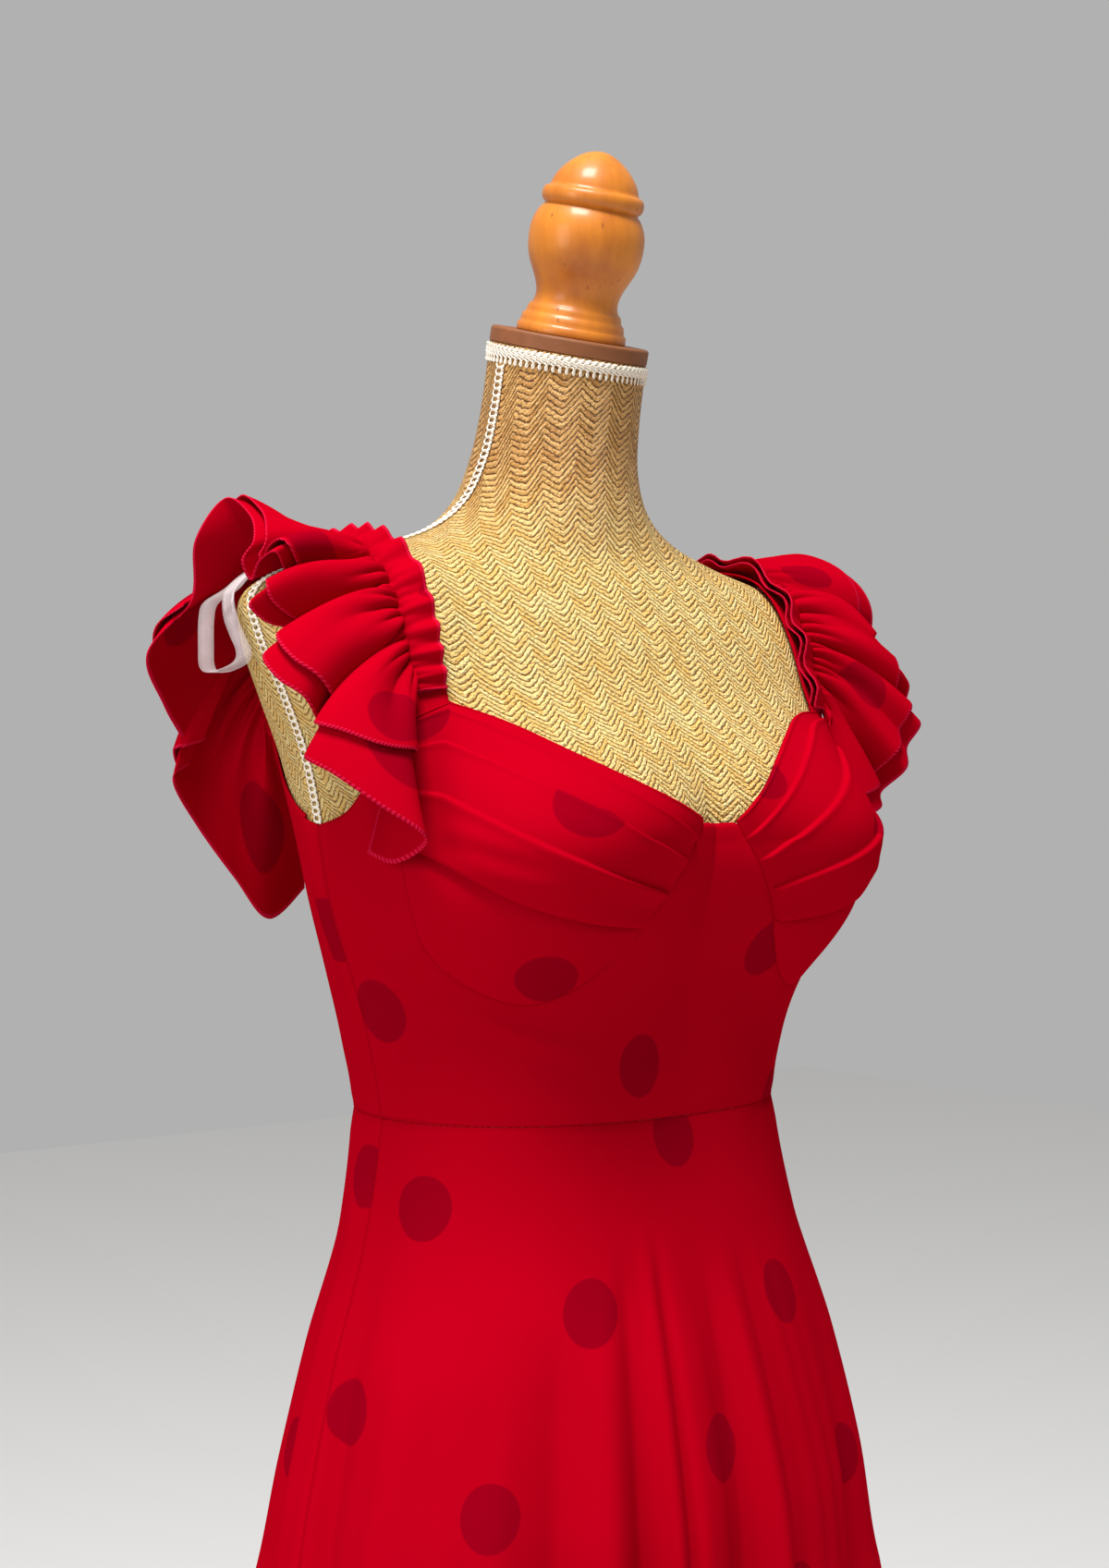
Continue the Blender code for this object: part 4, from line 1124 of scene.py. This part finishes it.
def make_bodice_front():
    lines = (
        GORE_TOP, GORE_SEAM, GORE_POINT, UNDER_BUST, CUP_SIDE_LOW, CUP_SIDE_HIGH, ARMHOLE_FRONT
    )
    counts = (1, 3, 1, 12, 2, 2, 3)

    def flat_place(u, v):
        half = abs(2 * u - 1)
        angle, height = along_all(lines, counts, half)
        foot = 90 * half**0.8
        sign = 1 if u > 0.5 else -1
        return sign * (foot + (angle - foot) * v), WAIST + (height - WAIST) * v, height

    def lift(u, v):
        angle, height, top = flat_place(u, v)
        rise = ease(angle, height) + WALL / 2
        rise += seam_dip(top - height) + seam_dip(height - WAIST, 0.0010, 0.004)
        return rise + creases(FRONT_CREASES, angle, height * 1000)

    def cloth(u, v):
        angle, height, _ = flat_place(u, v)
        return laid_out("bodice_front", angle * 0.00235, height - WAIST)

    mesh = grid_mesh(176, even(64), lambda u, v: on_figure(*flat_place(u, v)[:2]), lift, cloth)
    cloth_piece("bodice_front", mesh, CREPE)


def make_cups(side, name):
    # the smooth lower cup, its fold at the top
    def low_place(u, v):
        a, b = along(UNDER_BUST, 1 - u), along(CUP_FOLD, u)
        return a[0] + (b[0] - a[0]) * v, a[1] + (b[1] - a[1]) * v

    def low_lift(u, v):
        rise = ease(*low_place(u, v)) + WALL / 2
        rise += CUP_FULLNESS * math.sin(math.pi * v) * math.sin(math.pi * u)
        rise += seam_dip((1 - u) * 0.12)
        return rise + seam_dip(v * 0.08) + seam_dip((1 - v) * 0.08, 0.0020, 0.0060)

    def low_cloth(u, v):
        angle, height = low_place(u, v)
        return laid_out("cup_lower_" + name, side * angle * 0.0026, (height - WAIST) * 1.25)

    mesh = grid_mesh(
        64, even(36), lambda u, v: on_figure(*low_place(u, v), side), low_lift, low_cloth,
        flip=side > 0,
    )
    cloth_piece(
        "cup_lower_" + name, mesh, CREPE
    )

    # the upper cup, in pleats that each lie over the one above
    folds = (0.0, *(1 - place for place in reversed(PLEATS)), 1.0)
    levels = []
    for low, high in zip(folds, folds[1:]):
        levels += [low + (high - low) * t for t in PLEAT_LEVELS[:-1]]
    levels.append(1.0)
    neck = (STRAP_FRONT, NECKLINE_LEFT if side > 0 else NECKLINE)

    def high_place(u, v):
        number, t = pleat(v)
        fans = (0.0, *((a + (b - a) * u) for a, b in PLEAT_ENDS), 1.0)
        v = fans[number] + (fans[number + 1] - fans[number]) * t
        a, b = along(CUP_FOLD, u), along_all(neck, (3, 9), u)
        return a[0] + (b[0] - a[0]) * v, a[1] + (b[1] - a[1]) * v

    def pleat(v):
        for i, (low, high) in enumerate(zip(folds, folds[1:])):
            if v <= high or i == len(folds) - 2:
                return i, (v - low) / (high - low)

    def high_lift(u, v):
        angle, height = high_place(u, v)
        number, t = pleat(v)
        lift = ease(angle, height) + WALL / 2
        lift += CUP_FULLNESS * math.sin(math.pi * v) * math.sin(math.pi * u)
        # each pleat rises to its folded edge and drops there; the last rises less, and
        # the first starts high as well
        rise = t**1.4 * (1 - smooth_step(t, 0.965, 1.0))
        if number == len(folds) - 2:
            rise *= 0.75
        if number == 0:
            rise += 1.05 * (1 - smooth_step(t, 0.0, 0.60))
        rise = PLEAT_RISE * rise * (0.55 + 0.45 * u) + 0.0006 * bump(t - 0.93, 0.04)
        lift += rise * smooth_step(1 - u, 0, 0.05) + seam_dip((1 - u) * 0.12)
        return lift + creases(CUP_CREASES, u, v) * (1 if side < 0 else 0.6)

    def high_cloth(u, v):
        number, _ = pleat(v)
        angle, height = high_place(u, v)
        up = (height - WAIST) * CUP_CLOTH_RISE + number * PLEAT_DEPTH
        return laid_out("cup_upper_" + name, side * angle * 0.0027, up)

    mesh = grid_mesh(
        96, levels, lambda u, v: on_figure(*high_place(u, v), side), high_lift, high_cloth,
        flip=side > 0,
    )
    cloth_piece(
        "cup_upper_" + name, mesh, CREPE
    )


def make_back(side, name):
    lines = (ARMHOLE_BACK, STRAP_BACK, BACK_NECKLINE)

    def flat_place(u, v):
        angle, height = along_all(lines, (4, 3, 6), u)
        foot = 90 + 90 * u
        return foot + (angle - foot) * v, WAIST + (height - WAIST) * v, height

    def lift(u, v):
        angle, height, top = flat_place(u, v)
        rise = EASE + WALL / 2 + seam_dip(top - height) + seam_dip(height - WAIST, 0.001, 0.004)
        return rise + seam_dip((180 - angle) * 0.0024) + seam_dip((angle - 90) * 0.0024)

    def cloth(u, v):
        angle, height, _ = flat_place(u, v)
        return laid_out("bodice_back_" + name, side * angle * 0.0024, height - WAIST)

    mesh = grid_mesh(
        72, even(64), lambda u, v: on_figure(*flat_place(u, v)[:2], side), lift, cloth,
        flip=side < 0,
    )
    cloth_piece(
        "bodice_back_" + name, mesh, CREPE
    )


def make_strap(side, name):
    def surface(u, v):
        x = STRAP_OUTER + (STRAP_INNER - STRAP_OUTER) * u
        elevation = STRAP_START + (STRAP_END - STRAP_START) * v
        rise = min(1, 3.5 * min(v, 1 - v))
        lift = EASE + (STRAP_GAP - EASE) * rise + WALL / 2
        middle = over_shoulder(x, elevation, lift)
        if v < 0.08:
            angle, height = along(STRAP_FRONT, u)
            start = skin(angle, height, EASE + WALL / 2)
            middle = start.lerp(middle, smooth_step(v, 0, 0.08))
        if v > 0.92:
            angle, height = along(STRAP_BACK, u)
            end = skin(angle, height, EASE + WALL / 2)
            middle = middle.lerp(end, smooth_step(v, 0.92, 1.0))
        return Vector((middle.x * side, middle.y, middle.z))

    mesh = grid_mesh(
        8, even(72), surface, lambda u, v: 0.0,
        lambda u, v: (0.03 * u + 0.07, 0.24 * v + 0.05), flip=side > 0,
    )
    cloth_piece(
        "strap_" + name, mesh, CREPE
    )


# ------------------------------------------------------------------------- the ruffles


def turned(across, away, height):
    """A point given as the wearer's right front sees it: across to its right, and away."""
    turn = math.radians(VIEW_TURN)
    x = across * math.cos(turn) + away * math.sin(turn)
    y = away * math.cos(turn) - across * math.sin(turn)
    return Vector((x, y, height))


def ruffle_middle(side, share, place):
    """The ruffle's middle surface: share runs from its front end to its back end, and
    place from -1 at the heading's edge over 0 at the gathers to 1 at the free edge."""
    elevation = GATHER_START[side] + (GATHER_END - GATHER_START[side]) * share
    turn = math.radians(elevation)
    outward = Vector((0, -math.cos(turn), math.sin(turn)))
    gather = gather_point(round(elevation, 4), STRAP_GAP + WALL + 3 * SEAM).copy()
    gather.x *= side
    if place < 0:
        rise = 0.30 + 0.15 * share
        return gather + (Vector((-side, 0, 0)) + outward * rise).normalized() * HEADING * -place
    knots = HEMS[side]
    i = 0
    while i < len(knots) - 2 and knots[i + 1].share < share:
        i += 1
    step = (share - knots[i].share) / (knots[i + 1].share - knots[i].share)
    knot = blend(knots, i + step)
    edge = turned(knot.across, knot.away, knot.height)
    span = (edge - gather).length
    swell = gather.lerp(edge, 0.38) + (Vector((0.85 * side, 0, 0)) + outward * 0.55) * (
        span * knot.stand
    )
    t = place
    return gather * (1 - t) ** 2 + swell * 2 * t * (1 - t) + edge * t * t


@functools.lru_cache(maxsize=None)
def gather_point(elevation, lift):
    return over_shoulder(GATHER_X, elevation, lift)


def make_ruffle(layer, side, name):
    def reached(u, v):
        """The place from the heading to the free edge, shorter at the top layer's front."""
        short = END_SHORT[side] * math.exp(-((u / 0.09) ** 2)) if layer.reach < 1 else 0
        reach = layer.reach - short
        return v * reach if v > 0 else v

    def surface(u, v):
        return ruffle_middle(side, u, reached(u, v))

    def lift(u, v):
        place = reached(u, v)
        # the gathers are fine wrinkles that fan out from the stitches
        turn = math.tau * GATHERS * (u + 0.006 * math.sin(31 * u + side))
        fine = 2 * abs(math.sin(turn / 2)) ** 0.7 - 1
        if place < 0:
            scallop = math.tau * SCALLOPS[side] * (u + 0.010 * math.sin(19 * u + 2 * side))
            height = HEADING_SWING[side] * (-place) ** 0.6 * (1 - math.cos(scallop))
            height += 0.0005 * math.sin(turn) * (1 + place * 0.85)
        else:
            coarse = math.sin(turn * 0.37 + 3 * math.sin(7 * u))
            height = 0.0024 * fine * bump(place, 0.16) + 0.0022 * coarse * bump(place - 0.25, 0.2)
        # the row of stitches pulls the cloth down
        height -= 0.0022 * bump(place, 0.035 if place > 0 else 0.12)
        return height + layer.lift_gather + (layer.lift_edge - layer.lift_gather) * abs(place)

    def cloth(u, v):
        depth = RUFFLE_DEPTH * layer.reach * v if v > 0 else HEADING * v
        return laid_out(layer.name + "_" + name, STRIP_LENGTH * u, depth)

    def edge(u, v):
        depth = (1 - v) * RUFFLE_DEPTH * layer.reach if v > 0 else (1 + v) * HEADING
        ends = min(u, 1 - u) * STRIP_LENGTH
        return (STRIP_LENGTH * u if depth < ends else depth * 8), min(depth, ends)

    levels = [-1, -0.93, -0.86] + [-0.86 + 0.86 * t for t in even(8)[1:-1]]
    levels += [-0.05, 0, 0.03, 0.06, 0.1] + [0.1 + 0.84 * t for t in even(20)[1:]] + [0.97, 1]
    mesh = grid_mesh(RUFFLE_COLUMNS, levels, surface, lift, cloth, edge, flip=side > 0)
    cloth_piece(
        layer.name + "_" + name, mesh, EDGED_CREPE,
    )


def make_hanger_loop(side, name):
    """A ribbon from the strap's outer edge, hanging in a loop beside the shoulder."""
    count = 6 * (len(HANGER_LOOP) - 1)

    def surface(u, v):
        row = blend(HANGER_LOOP, v * (len(HANGER_LOOP) - 1))
        turn = math.radians(row[3])
        across = Vector((math.sin(turn), math.cos(turn), 0)) * RIBBON_WIDTH * (u - 0.5)
        point = Vector(row[:3]) + across
        return Vector((point.x * side, point.y, point.z))

    mesh = grid_mesh(
        2, even(count), surface, lambda u, v: 0.0, lambda u, v: (u * RIBBON_WIDTH, v * RIBBON_LENGTH)
    )
    item = shown("hanger_ribbon_" + name, mesh, CLEAR, "hanger_loop_" + name, 180)
    wall = item.modifiers.new("Thickness", "SOLIDIFY")
    wall.thickness = RIBBON_THICKNESS
    wall.offset = 0.0


# --------------------------------------------------------------------------- the skirt


@functools.lru_cache(maxsize=None)
def skirt_sections():
    waist = blend(FIGURE, place_of(WAIST))
    top = waist._replace(
        half_width=waist.half_width + EASE,
        front=waist.front + EASE,
        back=waist.back + EASE,
        height=WAIST,
    )
    return (top, *SKIRT)


def skirt_surface(height, angle):
    rows = skirt_sections()
    i = 0
    while i < len(rows) - 2 and rows[i + 1].height > height:
        i += 1
    share = (rows[i].height - height) / (rows[i].height - rows[i + 1].height)
    section = blend(rows, i + share)._replace(height=height)
    point = ring_point(section, angle)
    push = 0.0
    for fold in FOLDS:
        if height < fold.top:
            away = (angle - fold.angle + 180) % 360 - 180
            growth = ((fold.top - height) / (fold.top - FOLD_REFERENCE)) ** 0.85
            push += fold.depth * growth * math.exp(-0.5 * (away / fold.sigma) ** 2)
    if height < SKIRT_CREASE_TOP:
        push += SKIRT_CREASE_DEPTH * creases(SKIRT_CREASES, angle, height * 100)
    turn = math.radians(angle)
    return point + Vector((math.sin(turn), -math.cos(turn), 0)) * push


def make_skirt(name, start, end, columns):
    rows = 150

    def surface(u, v):
        angle = start + (end - start) * u
        return skirt_surface(HEM + (WAIST - SEAM - HEM) * v, angle)

    def lift(u, v):
        angle = start + (end - start) * u
        rise = WALL / 2 + seam_dip((WAIST - HEM) * (1 - v), 0.0012, 0.005)
        return rise + seam_dip(abs(angle - start) * 0.003) + seam_dip(abs(end - angle) * 0.003)

    def cloth(u, v):
        # the gored skirt opens flat like a part of a cone
        angle = start + (end - start) * u - SPOTS[name].middle
        slant = CONE_SLANT - (CONE_SLANT - WAIST_SLANT) * v
        turn = math.radians(angle * CONE_SHARE)
        return laid_out(name, slant * math.sin(turn), CONE_SLANT - slant * math.cos(turn))

    mesh = grid_mesh(columns, even(rows), surface, lift, cloth)
    cloth_piece(name, mesh, CREPE)


# -------------------------------------------------------------------------- the studio


def make_camera():
    turn = math.radians(VIEW_TURN)
    data = bpy.data.cameras.new("Camera")
    data.sensor_width = 36
    data.lens = 36 * FOCAL_PIXELS / VIEW_PIXELS[1]
    data.shift_x = SHIFT_PIXELS / VIEW_PIXELS[1]
    data.clip_start = 0.05
    camera = bpy.data.objects.new("Camera", data)
    camera.location = (
        -VIEW_DISTANCE * math.sin(turn), -VIEW_DISTANCE * math.cos(turn), VIEW_HEIGHT
    )
    camera.rotation_euler = (math.radians(90), 0, -turn)
    bpy.context.scene.collection.objects.link(camera)
    bpy.context.scene.camera = camera


def make_light(name, position, target, size, power, colour):
    data = bpy.data.lights.new(name, "AREA")
    data.shape = "RECTANGLE"
    data.size, data.size_y = size
    data.energy = power
    data.color = linear(colour)[:3]
    lamp = bpy.data.objects.new(name, data)
    lamp.location = position
    aim = Vector(target) - Vector(position)
    lamp.rotation_euler = aim.to_track_quat("-Z", "Y").to_euler()
    bpy.context.scene.collection.objects.link(lamp)


def make_studio():
    mesh = bmesh.new()
    bmesh.ops.create_grid(mesh, x_segments=1, y_segments=1, size=6)
    data = bpy.data.meshes.new("floor")
    mesh.to_mesh(data)
    mesh.free()
    data.materials.append(studio_floor())
    floor = bpy.data.objects.new("floor", data)
    bpy.context.scene.collection.objects.link(floor)
    world = bpy.data.worlds.new("Studio")
    world.use_nodes = True
    world.node_tree.nodes["Background"].inputs["Color"].default_value = linear("#FFFFFF")
    world.node_tree.nodes["Background"].inputs["Strength"].default_value = 0.44
    bpy.context.scene.world = world
    make_light("Ceiling", (-1.05, -0.80, 4.1), (0, 0, 1.1), (1.2, 1.2), 172, "#FFFFFF")
    make_light("Window", (-1.8, -0.2, 1.6), (0, 0, 1.0), (0.7, 1.2), 11, "#FFFFFF")


bpy.context.scene.view_settings.view_transform = "Standard"
make_camera()
CREPE = red_crepe("Red crepe")
EDGED_CREPE = red_crepe("Overlocked red crepe", edged=True)
STRAW = woven_straw()
LACQUERED_WOOD = lacquered_beech()
DARK_WOOD = stained_wood()
GIMP = gimp_cotton()
CLEAR = clear_ribbon()
FIGURE_NET = figure_tree()

make_form()
make_woods()
make_braids()
make_bodice_front()
for side, name in ((1, "left"), (-1, "right")):
    make_cups(side, name)
    make_back(side, name)
    make_strap(side, name)
    for layer in LAYERS:
        make_ruffle(layer, side, name)
    make_hanger_loop(side, name)
make_skirt("skirt_front", -90, 90, 260)
make_skirt("skirt_back_left", 90, 180, 130)
make_skirt("skirt_back_right", -180, -90, 130)
make_studio()
